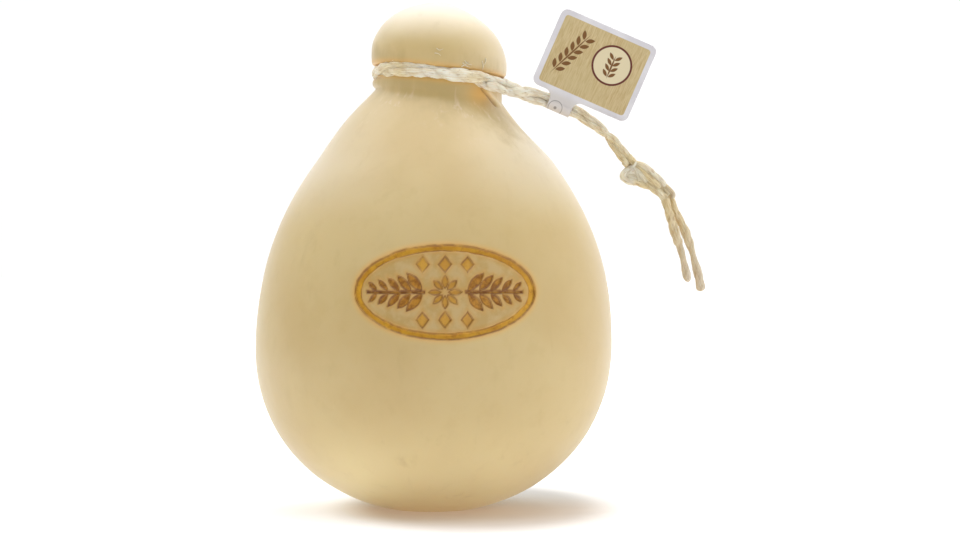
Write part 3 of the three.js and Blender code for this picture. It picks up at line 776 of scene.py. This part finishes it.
SHOULDER_RANGE = (188 * MM, 230 * MM)
SLOPE_GROWS = (188 * MM, 219 * MM)
SLOPE_FADES = (241 * MM, 264 * MM)


def oval_arc(centre, half_width, half_height, arc):
    turn = np.radians(np.linspace(*arc))
    return np.stack([centre[0] + half_width * np.cos(turn), centre[1] + half_height * np.sin(turn)], -1)


QUARTER_STEPS = 500
SHOULDER_STEPS = 600


def rounded(radius, height, rise, roundness, start, end):
    """Part of a quarter oval that is boxier than a plain one where its roundness is above 2."""
    turn = np.linspace(start, end, QUARTER_STEPS)
    power = 2 / roundness
    return np.stack([radius * np.cos(turn) ** power, height + rise * np.sin(turn) ** power], -1)


def cheese_profile():
    """Radii and heights of the upright form, closely spaced, from the rim of the flat spot to the top."""
    floor_turn = math.asin((BELLY_HEIGHT / BASE_DEPTH) ** (BASE_ROUNDNESS / 2))
    base = rounded(BELLY_RADIUS, BELLY_HEIGHT, -BASE_DEPTH, BASE_ROUNDNESS, floor_turn, 0)
    base[0, 1] = 0
    t = np.linspace(0, 1, SHOULDER_STEPS)[1:, None]
    corners = np.array([
        (BELLY_RADIUS, BELLY_HEIGHT),
        (BELLY_RADIUS, BELLY_HEIGHT + BELLY_RISE),
        (CREASE_RADIUS + CREASE_FLARE[0], CREASE_HEIGHT + CREASE_FLARE[1]),
        (CREASE_RADIUS, CREASE_HEIGHT),
    ])
    weights = [(1 - t) ** 3, 3 * t * (1 - t) ** 2, 3 * t**2 * (1 - t), t**3]
    shoulder = np.concatenate(weights, axis=1) @ corners
    lobe = oval_arc(LOBE_CENTRE, LOBE_SIZE, LOBE_SIZE, LOBE_ARC)[1:]
    groove = oval_arc(GROOVE_CENTRE, GROOVE_DEPTH, GROOVE_HALF_WIDTH, GROOVE_ARC)
    lip = smooth_line([groove[-1], *HEAD_LIP, (HEAD_RADIUS, HEAD_WIDEST)], 0.1 * MM)[1:]
    dome = rounded(HEAD_RADIUS, HEAD_WIDEST, TOTAL_HEIGHT - HEAD_WIDEST, HEAD_ROUNDNESS, 0, math.pi / 2)[1:]
    dome[-1] = (0, TOTAL_HEIGHT)
    return np.concatenate([base, shoulder, lobe, groove, lip, dome])


def pinch(points):
    """Leaves the lobe at the left only, and runs the shoulder into a fuller wall at the front and back."""
    x, y, z = np.moveaxis(points, -1, 0)
    reach = np.maximum(np.hypot(x, y), 1e-9)
    aside = (y / reach) ** 2
    lobe = np.where(z > CREASE_HEIGHT, np.maximum(reach - CREASE_RADIUS, 0), 0)
    kept = np.where(x > 0, 0, 1 - smoothstep(np.sqrt(aside), *LOBE_FADES))
    plain = reach - lobe
    wall = CREASE_RADIUS + FRONT_FULLNESS * aside
    fuller = (plain + wall + np.hypot(plain - wall, FRONT_FILLET * aside)) / 2
    high = smoothstep(z, CREASE_HEIGHT - 3 * FRONT_FILLET, CREASE_HEIGHT)
    scale = np.where(z <= WALL_TOP, (plain + (fuller - plain) * high + lobe * kept) / reach, 1)
    points[..., :2] *= scale[..., None]


def fill_head(points):
    """Makes the dome boxier on the left and more sloping on the right."""
    x, y, z = np.moveaxis(points, -1, 0)
    reach = np.hypot(x, y)
    held = (z > HEAD_WIDEST) & (reach > 0)
    safe = np.where(held, reach, 1)
    power = HEAD_ROUNDNESS - HEAD_ROUNDNESS_SWING * (x / safe)
    share = np.clip((z - HEAD_WIDEST) / (TOTAL_HEIGHT - HEAD_WIDEST), 0, 1)
    scale = np.where(held, HEAD_RADIUS * (1 - share**power) ** (1 / power) / safe, 1)
    points[..., :2] *= scale[..., None]


def lean(points):
    """Moves the upright form's points to their places on the leaning one."""
    z = points[..., 2].copy()
    slope = NECK_SLOPE * plateau(z, *SLOPE_GROWS, *SLOPE_FADES)
    above = smoothstep(z, *SHOULDER_RANGE)
    shift = BASE_SHIFT * (1 - smoothstep(z, *BASE_SHIFT_RANGE)) + HEAD_SHIFT * above
    lip = LIP_TILT * hump(z - LIP_HEIGHT, LIP_REACH)
    points[..., 2] -= slope * points[..., 0]
    points[..., 2] += lip * points[..., 0] / HEAD_RADIUS
    flatter = np.where(points[..., 0] < 0, LEFT_FLATNESS * (1 - above), 0)
    points[..., 0] = points[..., 0] * (1 - flatter) + shift


# ---- cheese: the pressed mark

MARK_CENTRE = (7.4 * MM, 119.6 * MM)
MARK_HALF_WIDTH = 46.7 * MM
MARK_HALF_HEIGHT = 24.6 * MM
MARK_BAND = 3.6 * MM
MARK_DEPTH = 1.05 * MM
WALL = 0.6 * MM  # how far the wall of a pressed shape slopes
PETALS = 8
PETAL_REACH = 5.2 * MM
PETAL_LENGTH = 7.4 * MM
PETAL_WIDTH = 3.4 * MM
STEM_START = 10.2 * MM
STEM_END = 40.4 * MM
STEM_WIDTH = 2 * MM
LEAF_PAIRS = 5
FIRST_LEAF = 11.6 * MM
LEAF_PITCH = 5.9 * MM
LEAF_LENGTH = 12.5 * MM
LEAF_TAPER = 1.5 * MM
LEAF_SLIMNESS = 0.4
LEAF_SPLAY = 0.85
LOZENGES = 3
LOZENGE_WIDTH = 7 * MM
LOZENGE_HEIGHT = 9.4 * MM
LOZENGE_PITCH = 11.6 * MM
LOZENGE_RISE = 14.2 * MM


def outside_leaf(u, v, x, y, length, width, turn):
    """How far points lie outside a leaf, below 0 within it."""
    p = (u - x) * math.cos(turn) + (v - y) * math.sin(turn)
    q = -(u - x) * math.sin(turn) + (v - y) * math.cos(turn)
    edge = width / 2 * (1 - (2 * p / length) ** 2)
    return np.where(np.abs(p) < length / 2, np.abs(q) - edge, np.hypot(np.abs(p) - length / 2, q))


def outside_lozenge(u, v, x, y, width, height):
    half_width, half_height = width / 2, height / 2
    over = np.abs(u - x) / half_width + np.abs(v - y) / half_height - 1
    return over / math.hypot(1 / half_width, 1 / half_height)


def outside_oval(u, v, half_width, half_height):
    q = np.hypot(u / half_width, v / half_height)
    return (q - 1) * q / np.maximum(np.hypot(u / half_width**2, v / half_height**2), 1e-6)


def mark_distances(u, v):
    """How far points lie outside the band, the sprigs, and the rosette and lozenges."""
    outer = outside_oval(u, v, MARK_HALF_WIDTH, MARK_HALF_HEIGHT)
    inner = -outside_oval(u, v, MARK_HALF_WIDTH - MARK_BAND, MARK_HALF_HEIGHT - MARK_BAND)
    band = np.maximum(outer, inner)
    outlined = np.full_like(u, 1.0)
    for i in range(PETALS):
        turn = TURN * i / PETALS
        x, y = PETAL_REACH * math.cos(turn), PETAL_REACH * math.sin(turn)
        outlined = np.minimum(outlined, outside_leaf(u, v, x, y, PETAL_LENGTH, PETAL_WIDTH, turn))
    sprigs = np.full_like(u, 1.0)
    for side in (-1, 1):
        past = np.abs(side * u - (STEM_START + STEM_END) / 2) - (STEM_END - STEM_START) / 2
        sprigs = np.minimum(sprigs, np.maximum(past, np.abs(v) - STEM_WIDTH / 2))
        for i in range(LEAF_PAIRS):
            length = LEAF_LENGTH - LEAF_TAPER * i
            x = FIRST_LEAF + LEAF_PITCH * i + length / 2 * math.cos(LEAF_SPLAY)
            y = STEM_WIDTH / 4 + length / 2 * math.sin(LEAF_SPLAY)
            for face in (-1, 1):
                place = (side * x, face * y, length, length * LEAF_SLIMNESS, side * face * LEAF_SPLAY)
                sprigs = np.minimum(sprigs, outside_leaf(u, v, *place))
    for face in (-1, 1):
        for i in range(LOZENGES):
            x = (i - (LOZENGES - 1) / 2) * LOZENGE_PITCH
            gap = outside_lozenge(u, v, x, face * LOZENGE_RISE, LOZENGE_WIDTH, LOZENGE_HEIGHT)
            outlined = np.minimum(outlined, gap)
    return outer, band, sprigs, outlined


# ---- cheese: its skin

LUMPS = [(0.4, 46, 1), (0.14, 17, 2), (0.04, 6, 3)]  # height and size in millimetres, and the random seed
WOBBLES = [(0.2, 4.5, 4), (0.12, 1.8, 5)]  # of the mark's outlines, in the same way
LUMPS_START = (2 * MM, 14 * MM)  # heights above the flat spot

# The band, the sprigs, and the rosette with the lozenges: their colour, how strong it is, how deep they are
# pressed as a share of the mark's depth, and how dark their outline is.
MARK_FORMS = [("gold", 0.97, 1.0, 0.8), ("brown", 0.92, 1.0, 0.75), ("gold", 0.7, 0.8, 0.85)]
MARK_SURROUND = (52 * MM, 29 * MM)  # half of the width and height in which the mark has any effect
MARK_SINKS = 0.35 * MM  # the whole oval
FORM_RIM = 0.15 * MM  # how far the skin swells beside a pressed form
RIM_PLACE = 0.7 * MM  # from the form's outline, and half of the swelling's width

# Distances past an outline, below 0 within it: where its colour, the oval's dip and the oval's ground end,
# where the dark line runs and half of its width, and how far a stain spreads round the forms.
INK_ENDS = (-0.4 * MM, 0.3 * MM)
DIP_ENDS = (-3.5 * MM, 0.5 * MM)
GROUND_ENDS = (-4 * MM, -2 * MM)
LINE_PLACE = -0.32 * MM
LINE_HALF_WIDTH = 0.38 * MM
HALO_REACH = 1.7 * MM

FOLD_FROM = np.array([26.8, 228.0]) * MM  # crease in the rind below the crossing, x and height
FOLD_TO = np.array([33.6, 220.5]) * MM
FOLD_DEPTH = 0.9 * MM
FOLD_HALF_WIDTH = 0.5 * MM
RIDGE_HEIGHT = 0.8 * MM
RIDGE_PLACE = 1.9 * MM  # from the crease
PATCH_CENTRE = (25.5 * MM, 226 * MM)  # of the stain beside it
PATCH_REACH = 7 * MM
TIP_PLACE = 7 * MM  # the head's small tip, x
TIP_HEIGHT = 0.7 * MM
TIP_REACH = 4 * MM
STAIN_REACH = 5.2 * MM  # above and below the twine
TAN_BELOW = (3 * MM, 31 * MM)  # distances from the twine between which the tan fades
TAN_ABOVE = (4 * MM, 18 * MM)
TAN_RIGHT = (-5 * MM, 25 * MM)  # x between which the tan above the twine gets stronger
# x between which the painted shade on the head's lower left fades out
PAINTED_SHADE_LEFT = (-32 * MM, -6 * MM)


def lumps(points, sizes):
    return sum(height * MM * value_noise(points, size * MM, seed) for height, size, seed in sizes)


def press_mark(flat, relief, tint):
    """Sinks the mark into the skin and colours it."""
    x, y, z = flat.T
    u = x - MARK_CENTRE[0]
    v = z - MARK_CENTRE[1]
    near = (y < 0) & (np.abs(u) < MARK_SURROUND[0]) & (np.abs(v) < MARK_SURROUND[1])
    outer, *forms = mark_distances(u[near], v[near])
    wobble = lumps(flat[near], WOBBLES)
    depth = np.zeros_like(outer)
    edge = np.zeros_like(outer)
    for gap, (name, share, sunk, dark) in zip(forms, MARK_FORMS):
        gap = gap + wobble
        depth = np.maximum(depth, sunk * (1 - smoothstep(gap, -WALL, 0)))
        tint[name][near] = np.maximum(tint[name][near], share * (1 - smoothstep(gap, *INK_ENDS)))
        edge = np.maximum(edge, dark * hump(gap - LINE_PLACE, LINE_HALF_WIDTH))
        relief[near] += FORM_RIM * hump(gap - RIM_PLACE, RIM_PLACE)
    relief[near] -= MARK_DEPTH * depth + MARK_SINKS * (1 - smoothstep(outer, *DIP_ENDS))
    tint["edge"][near] = edge
    tint["inner"][near] = 0.8 * (1 - smoothstep(outer, *GROUND_ENDS))
    tint["stain"][near] = 0.5 * hump(np.maximum(np.minimum.reduce(forms), 0), HALO_REACH)


def crease_distances(x, z):
    """How far places lie to the right of the crease and how far past its ends."""
    along = FOLD_TO - FOLD_FROM
    places = np.stack([x, z], -1) - FOLD_FROM
    share = np.clip(places @ along / (along @ along), 0, 1)
    off = places - share[:, None] * along
    across = off @ [-along[1], along[0]] / math.hypot(*along)
    return across, np.hypot(*off.T) - np.abs(across)


def surface_relief(points):
    """How far the skin stands out from the plain form, and the shares of its colours."""
    flat = points.reshape(-1, 3)
    x, y, z = flat.T
    relief = lumps(flat, LUMPS) * smoothstep(z, *LUMPS_START)
    tint = {name: np.zeros_like(x) for name in ("gold", "brown", "edge", "inner", "tan", "stain")}
    press_mark(flat, relief, tint)

    across, beyond = crease_distances(x, z)
    fade = hump(beyond, 1.2 * MM) * (y < 0)
    crease = hump(across, FOLD_HALF_WIDTH) * fade
    ridge = hump(across - RIDGE_PLACE, 1.0 * MM) * fade
    relief += RIDGE_HEIGHT * ridge - FOLD_DEPTH * crease
    relief += TIP_HEIGHT * hump(np.hypot(x - TIP_PLACE, y), TIP_REACH) * (z > HEAD_WIDEST)
    # The crease takes the mark's dark outline colour: painted shade in the fold.
    tint["edge"] = np.maximum(tint["edge"], 0.5 * crease)

    below = TWINE_HEIGHT - NECK_SLOPE * (x - HEAD_SHIFT) - z
    # Beside the crease and along the twine the stain is partly painted warm light in the shade there.
    patch = hump(np.hypot(x - PATCH_CENTRE[0], z - PATCH_CENTRE[1]), PATCH_REACH) * (y < 0)
    stain = np.maximum(patch * (1 - 0.8 * ridge), np.exp(-((below / STAIN_REACH) ** 4)))
    tint["stain"] = np.maximum(tint["stain"], 0.75 * stain)
    # Tan below the twine and at the head's lip is partly stain and partly painted shade; the extra tan on
    # the head's lower left is painted shade.
    under_tan_and_shade = 1 - smoothstep(below - 0.25 * x, *TAN_BELOW)
    sideways = 0.3 + 0.1 * smoothstep(x, *TAN_RIGHT) + 0.5 * (1 - smoothstep(x, *PAINTED_SHADE_LEFT))
    over_tan_and_shade = sideways * (1 - smoothstep(-below, *TAN_ABOVE))
    tint["tan"] = np.where(below > 0, under_tan_and_shade, over_tan_and_shade) * (1 - 0.85 * ridge)
    return relief, tint


# ---- cheese: its mesh

MARK_ROWS = 0.5 * MM
NECK_ROWS = 0.7 * MM
PLAIN_ROWS = 1.6 * MM
MARK_SPAN = (88, 93, 146, 151)  # heights in millimetres between which the rows are close
NECK_SPAN = (208, 216, 247, 255)
INNER_ROWS = 12  # under the flat spot
MARK_COLUMN = 0.34  # degrees
PLAIN_COLUMN = 1.5
MARK_VIEW = (-26, 36)  # degrees from the front between which the mark lies
FOLD_VIEW = 62  # and up to which the crease lies
FOLD_COLUMN = 0.7


def row_spacing(z):
    in_mark = plateau(z / MM, *MARK_SPAN)
    in_neck = plateau(z / MM, *NECK_SPAN)
    return PLAIN_ROWS + (MARK_ROWS - PLAIN_ROWS) * in_mark + (NECK_ROWS - PLAIN_ROWS) * in_neck


def spaced_profile():
    fine = cheese_profile()
    along = distance_along(fine)
    steps = np.diff(along) / row_spacing((fine[1:, 1] + fine[:-1, 1]) / 2)
    rows = np.concatenate([[0], np.cumsum(steps)])
    wanted = np.linspace(0, rows[-1], round(rows[-1]))
    radii = np.interp(wanted, rows, fine[:, 0])
    heights = np.interp(wanted, rows, fine[:, 1])
    inner = np.linspace(0, radii[0], INNER_ROWS + 2)[1:-1]
    radii = np.concatenate([inner, radii[:-1]])
    heights = np.concatenate([np.zeros_like(inner), heights[:-1]])
    return radii, heights


def column_turns():
    close = np.arange(MARK_VIEW[0], MARK_VIEW[1], MARK_COLUMN)
    folded = np.arange(MARK_VIEW[1], FOLD_VIEW, FOLD_COLUMN)
    rest = np.arange(FOLD_VIEW, MARK_VIEW[0] + 360, PLAIN_COLUMN)
    return np.radians(np.concatenate([close, folded, rest]) - 90)


def make_cheese():
    radii, heights = spaced_profile()
    turns = column_turns()
    axes = (radii[:, None] * np.cos(turns), radii[:, None] * np.sin(turns), heights[:, None])
    points = np.stack(np.broadcast_arrays(*axes), -1)
    pinch(points)
    fill_head(points)
    lean(points)
    round_way = np.roll(points, -1, axis=1) - np.roll(points, 1, axis=1)
    outward = unit(np.cross(round_way, np.gradient(points, axis=0)))
    relief, tint = surface_relief(points)
    points += outward * relief.reshape(points.shape[:2])[..., None]
    points[..., 2] = np.maximum(points[..., 2], 0)
    top = points[-1].mean(axis=0) + [0, 0, 0.15 * MM]
    vertices = np.concatenate([points.reshape(-1, 3), [(BASE_SHIFT, 0, 0)], [top]])
    cheese = Shape(*tint)
    shares = {name: np.concatenate([share, [0, 0]]) for name, share in tint.items()}
    cheese.add(vertices, fanned_faces(*points.shape[:2]), **shares)
    piece = cheese.piece("provolone", rind_material(), "rind")
    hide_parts("cheese")
    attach(piece, "root")


make_cheese()


# ---- tag

TAG_FOLD = (0.0689, -0.0200, 0.2206)
TAG_TURN = math.radians(-23.6)
TAG_LEFT = -19.4 * MM
TAG_RIGHT = 36.3 * MM
TAG_LOW = 4.4 * MM
TAG_HIGH = 48.7 * MM
TAG_CORNER = 4 * MM
TAG_FRONT = 4.9 * MM  # from the middle of the twine to the card's face
TAG_THICKNESS = 0.5 * MM
TAB_HALF_WIDTH = 6.7 * MM
TAB_FILLET = 4.2 * MM
FOLD_RETURN = 0.35
FLAP_TOP = 18 * MM
BORDER = 2.9 * MM
FIELD_CORNER = 1.8 * MM
ARC_STEPS = 10

PRINT_EDGE = 0.15 * MM  # half the width in which a printed form ends
BADGE = (17 * MM, 30 * MM)
BADGE_RADIUS = 10.5 * MM
BOUGH = (-6 * MM, 27 * MM)
BOUGH_TURN = 1.15
MARKING = (-2.0 * MM, -3.1 * MM)  # in pen, on the fold


def arc(x, y, radius, start, end):
    turns = np.linspace(start, end, ARC_STEPS)
    return [(x + radius * math.cos(t), y + radius * math.sin(t)) for t in turns]


def tag_outline():
    quarter = math.pi / 2
    r = TAG_CORNER
    low_fillet = TAG_LOW - TAB_FILLET
    return [
        (-TAB_HALF_WIDTH, 0),
        (TAB_HALF_WIDTH, 0),
        *arc(TAB_HALF_WIDTH + TAB_FILLET, low_fillet, TAB_FILLET, math.pi, quarter),
        *arc(TAG_RIGHT - r, TAG_LOW + r, r, -quarter, 0),
        *arc(TAG_RIGHT - r, TAG_HIGH - r, r, 0, quarter),
        *arc(TAG_LEFT + r, TAG_HIGH - r, r, quarter, math.pi),
        *arc(TAG_LEFT + r, TAG_LOW + r, r, math.pi, 3 * quarter),
        *arc(-TAB_HALF_WIDTH - TAB_FILLET, low_fillet, TAB_FILLET, quarter, 0),
    ]


def fold_path():
    """The tab's middle line behind the card, from its front, under the twine and up the back: out, up."""
    radius = TAG_FRONT - TAG_THICKNESS / 2
    turns = np.linspace(0, -math.pi - FOLD_RETURN, 26)
    round_twine = [(radius * math.cos(t), radius * math.sin(t)) for t in turns]
    back = TAG_FRONT - 1.5 * TAG_THICKNESS
    return np.array([*round_twine, (back - 0.2 * MM, 10.2 * MM), (back, 11.2 * MM), (back, FLAP_TOP)])


def tag_material():
    """Printed card. The places of its forms are those of the tag's own axes, as in its outline."""
    n = Nodes("card")
    place = n.place()
    x, y, z = n.split(place)

    def within(gap, limit, soft=PRINT_EDGE):
        return n.between(gap, limit - soft, limit + soft, 1.0, 0.0)

    def inside_box(cx, cy, half_x, half_y, corner):
        dx = n.minus(n.away(x, cx), half_x - corner)
        dy = n.minus(n.away(y, cy), half_y - corner)
        return within(n.length(n.math("MAXIMUM", dx, 0.0), n.math("MAXIMUM", dy, 0.0)), corner)

    def from_centre(cx, cy):
        return n.length(n.minus(x, cx), n.minus(y, cy))

    def ring(cx, cy, radius, width):
        return within(n.away(from_centre(cx, cy), radius), width / 2, 0.8 * PRINT_EDGE)

    def leaf(cx, cy, length, width, turn):
        dx, dy = n.minus(x, cx), n.minus(y, cy)
        p = n.math("ADD", n.times(dx, math.cos(turn)), n.times(dy, math.sin(turn)))
        q = n.minus(n.times(dy, math.cos(turn)), n.times(dx, math.sin(turn)))
        p = n.times(p, 2 / length)
        edge = n.times(n.minus(1.0, n.times(p, p)), width / 2)
        return within(n.minus(n.math("ABSOLUTE", q), edge), 0)

    def either(masks):
        total = masks[0]
        for mask in masks[1:]:
            total = n.math("MAXIMUM", total, mask)
        return total

    def spray(stem, centre, turn, pairs, first, pitch, aside, leaf_size, splay):
        """A stem with pairs of leaves, the first pair so far along it from its centre."""
        masks = [stem]
        for i in range(pairs):
            for side in (-1, 1):
                step = first + pitch * i
                cx = centre[0] + step * math.cos(turn) + side * aside * math.sin(turn)
                cy = centre[1] + step * math.sin(turn) - side * aside * math.cos(turn)
                masks.append(leaf(cx, cy, *leaf_size, turn - side * splay))
        return either(masks)

    half_x = (TAG_RIGHT - TAG_LEFT) / 2 - BORDER
    half_y = (TAG_HIGH - TAG_LOW) / 2 - BORDER
    grain = n.noise(place, (1400, 130, 400), 4, 0.65, 0.6)
    cloud = n.noise(place, 60, 3)
    tan = n.mix(n.between(grain, 0.35, 0.7), colour(218, 198, 152), colour(194, 167, 114))
    tan = n.mix(n.between(cloud, 0.4, 0.7, 0, 0.5), tan, colour(206, 187, 138))
    clear = n.mix(n.between(cloud, 0.35, 0.65), colour(222, 217, 214), colour(210, 204, 203))
    white = n.mix(n.between(cloud, 0.35, 0.65), colour(236, 234, 238), colour(224, 221, 226))
    # The card stays greyer at the tab than above it: painted shade where the tab folds.
    clear = n.mix(n.between(y, 2 * MM, 7 * MM), clear, white)
    inward = n.away(z, TAG_FRONT - TAG_THICKNESS / 2)
    faces = n.times(n.between(inward, 0.15 * MM, 0.2 * MM), n.between(inward, 0.4 * MM, 0.5 * MM, 1, 0))
    field = inside_box((TAG_LEFT + TAG_RIGHT) / 2, (TAG_LOW + TAG_HIGH) / 2, half_x, half_y, FIELD_CORNER)
    tone = n.mix(n.times(field, faces), clear, tan)

    brown = colour(126, 84, 40)
    stem = leaf(BADGE[0], BADGE[1] - 1 * MM, 13 * MM, 1.0 * MM, math.pi / 2)
    sprig = spray(
        stem, BADGE, math.pi / 2, pairs=4, first=-5 * MM, pitch=3.2 * MM, aside=2 * MM,
        leaf_size=(4.6 * MM, 1.8 * MM), splay=0.8,
    )
    stem = leaf(*BOUGH, 30 * MM, 0.9 * MM, BOUGH_TURN)
    bough = spray(
        stem, BOUGH, BOUGH_TURN, pairs=6, first=-9.68 * MM, pitch=4.4 * MM, aside=2.3 * MM,
        leaf_size=(5.4 * MM, 2.3 * MM), splay=0.7,
    )
    front = n.between(z, TAG_FRONT - 0.3 * MM, TAG_FRONT - 0.1 * MM)
    for form, ink in (
        (within(from_centre(*BADGE), BADGE_RADIUS), colour(233, 219, 182)),
        (ring(*BADGE, BADGE_RADIUS, 1.1 * MM), colour(104, 44, 34)),
        (sprig, brown),
        (bough, brown),
    ):
        tone = n.mix(n.times(form, front), tone, ink)
    pen = either([ring(*MARKING, 3.8 * MM, 0.4 * MM), within(from_centre(*MARKING), 0.8 * MM)])
    pen = n.times(pen, n.between(z, 0.2 * MM, 0.6 * MM))
    tone = n.mix(n.times(pen, 0.75), tone, colour(120, 114, 112))
    normal = n.bump(n.noise(place, 500, 2), 0.0001, 0.3)
    return n.finish(tone, 0.38, Normal=normal, Coat_Weight=0.25, Coat_Roughness=0.2)


def make_tag():
    tag = Shape()
    outline = tag_outline()
    count = len(outline)
    front = [(px, py, TAG_FRONT) for px, py in outline]
    back = [(px, py, TAG_FRONT - TAG_THICKNESS) for px, py in outline]
    faces = [list(range(count)), list(range(2 * count - 1, count - 1, -1))]
    for i in range(count):
        after = (i + 1) % count
        faces.append([i, count + i, count + after, after])
    tag.add(front + back, faces)

    path = fold_path()[:, ::-1]  # up, out
    heading = unit(np.gradient(path, axis=0))
    normal = np.stack([-heading[:, 1], heading[:, 0]], -1) * TAG_THICKNESS / 2
    rings = []
    for sign_x, sign_n in ((-1, -1), (1, -1), (1, 1), (-1, 1)):
        edge = path + sign_n * normal
        rings.append(np.stack([np.full(len(path), sign_x * TAB_HALF_WIDTH), edge[:, 0], edge[:, 1]], -1))
    vertices = np.stack(rings, 1).reshape(-1, 3)
    faces = ring_faces(len(path), 4)
    final = len(vertices) - 4
    tag.add(vertices, [*faces, [3, 2, 1, 0], [final, final + 1, final + 2, final + 3]])
    piece = tag.piece("hang_tag", tag_material(), "card", sharp=35)
    bevel = piece.modifiers.new("edge", "BEVEL")
    bevel.width = 0.12 * MM
    bevel.segments = 2
    bevel.limit_method = "ANGLE"
    bevel.angle_limit = math.radians(50)
    along = Vector((math.cos(TAG_TURN), 0, math.sin(TAG_TURN)))
    up = Vector((-math.sin(TAG_TURN), 0, math.cos(TAG_TURN)))
    out = along.cross(up)
    piece.matrix_world = Matrix.Translation(TAG_FOLD) @ Matrix((along, up, out)).transposed().to_4x4()
    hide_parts("tag")
    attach(piece, "root")
    return piece


tag_piece = make_tag()


# ---- studio

FLOOR_HALF = 40.0
SHADOW_CENTRE = (0.023, 0.015)
SHADOW_SHAPE = (1.3, 0.66)  # how much narrower than round it is, across and from front to back


def add_floor():
    """A light table whose glow is dimmed round the foot of the cheese in a painted shadow, warm at the
    front and darkest towards the back.
    """
    corners = [(x * FLOOR_HALF, y * FLOOR_HALF, 0) for x, y in ((-1, -1), (1, -1), (1, 1), (-1, 1))]
    mesh = bpy.data.meshes.new("floor")
    mesh.from_pydata(corners, [], [(0, 1, 2, 3)])
    n = Nodes("floor")
    paper = n.noise(n.place(), 40, 2)
    tone = n.mix(n.between(paper, 0.3, 0.7), (0.54, 0.54, 0.54, 1.0), (0.56, 0.56, 0.56, 1.0))
    x, y, _ = n.split(n.place())
    # The painted shadow's colour: warm at the front, as if lit by the cheese, and nearly black behind.
    dark = n.mix(n.between(y, -0.03, 0.1), (0.25, 0.18, 0.135, 1.0), (0.02, 0.01, 0.0, 1.0))
    x, y = (n.times(n.minus(way, at), size) for way, at, size in zip((x, y), SHADOW_CENTRE, SHADOW_SHAPE))
    reach = n.length(x, y)
    glow = n.mix(n.between(reach, 0.07, 0.115), dark, (0.6, 0.58, 0.56, 1.0))
    glow = n.mix(n.between(reach, 0.2, 0.7), glow, (0.85, 0.85, 0.85, 1.0))
    mesh.materials.append(n.finish(tone, 0.9, Emission_Color=glow, Emission_Strength=1.0))
    floor = add_object("floor", mesh)


WORLD_MEAN = 0.55
WORLD_SWING = (0.3, 0.52, 0.05)  # how much brighter it is towards the right, the back and the top


def add_world():
    """White all round, dimmer from the camera's side than from behind and above the cheese."""
    world = bpy.data.worlds.new("studio")
    world.use_nodes = True
    bpy.context.scene.world = world
    nodes, links = world.node_tree.nodes, world.node_tree.links
    dot = nodes.new("ShaderNodeVectorMath")
    dot.operation = "DOT_PRODUCT"
    dot.inputs[1].default_value = WORLD_SWING
    links.new(nodes.new("ShaderNodeTexCoord").outputs["Generated"], dot.inputs[0])
    strength = nodes.new("ShaderNodeMath")
    strength.operation = "ADD"
    strength.inputs[1].default_value = WORLD_MEAN
    links.new(dot.outputs["Value"], strength.inputs[0])
    background = nodes["Background"]
    background.inputs["Color"].default_value = (1, 1, 1, 1)
    links.new(strength.outputs[0], background.inputs["Strength"])


LAMP_PLACE = Vector((-0.12, 0.1, 1.6))
LAMP_TARGET = Vector((0, 0, 0.1))
LAMP_SIZE = 2.4
LAMP_POWER = 30


def add_lamp():
    data = bpy.data.lights.new("overhead", "AREA")
    data.shape = "DISK"
    data.size = LAMP_SIZE
    data.energy = LAMP_POWER
    lamp = add_object("overhead", data)
    lamp.location = LAMP_PLACE
    lamp.rotation_euler = (LAMP_TARGET - LAMP_PLACE).to_track_quat("-Z", "Y").to_euler()


add_floor()
add_world()
add_lamp()
bpy.context.scene.view_settings.view_transform = "Standard"
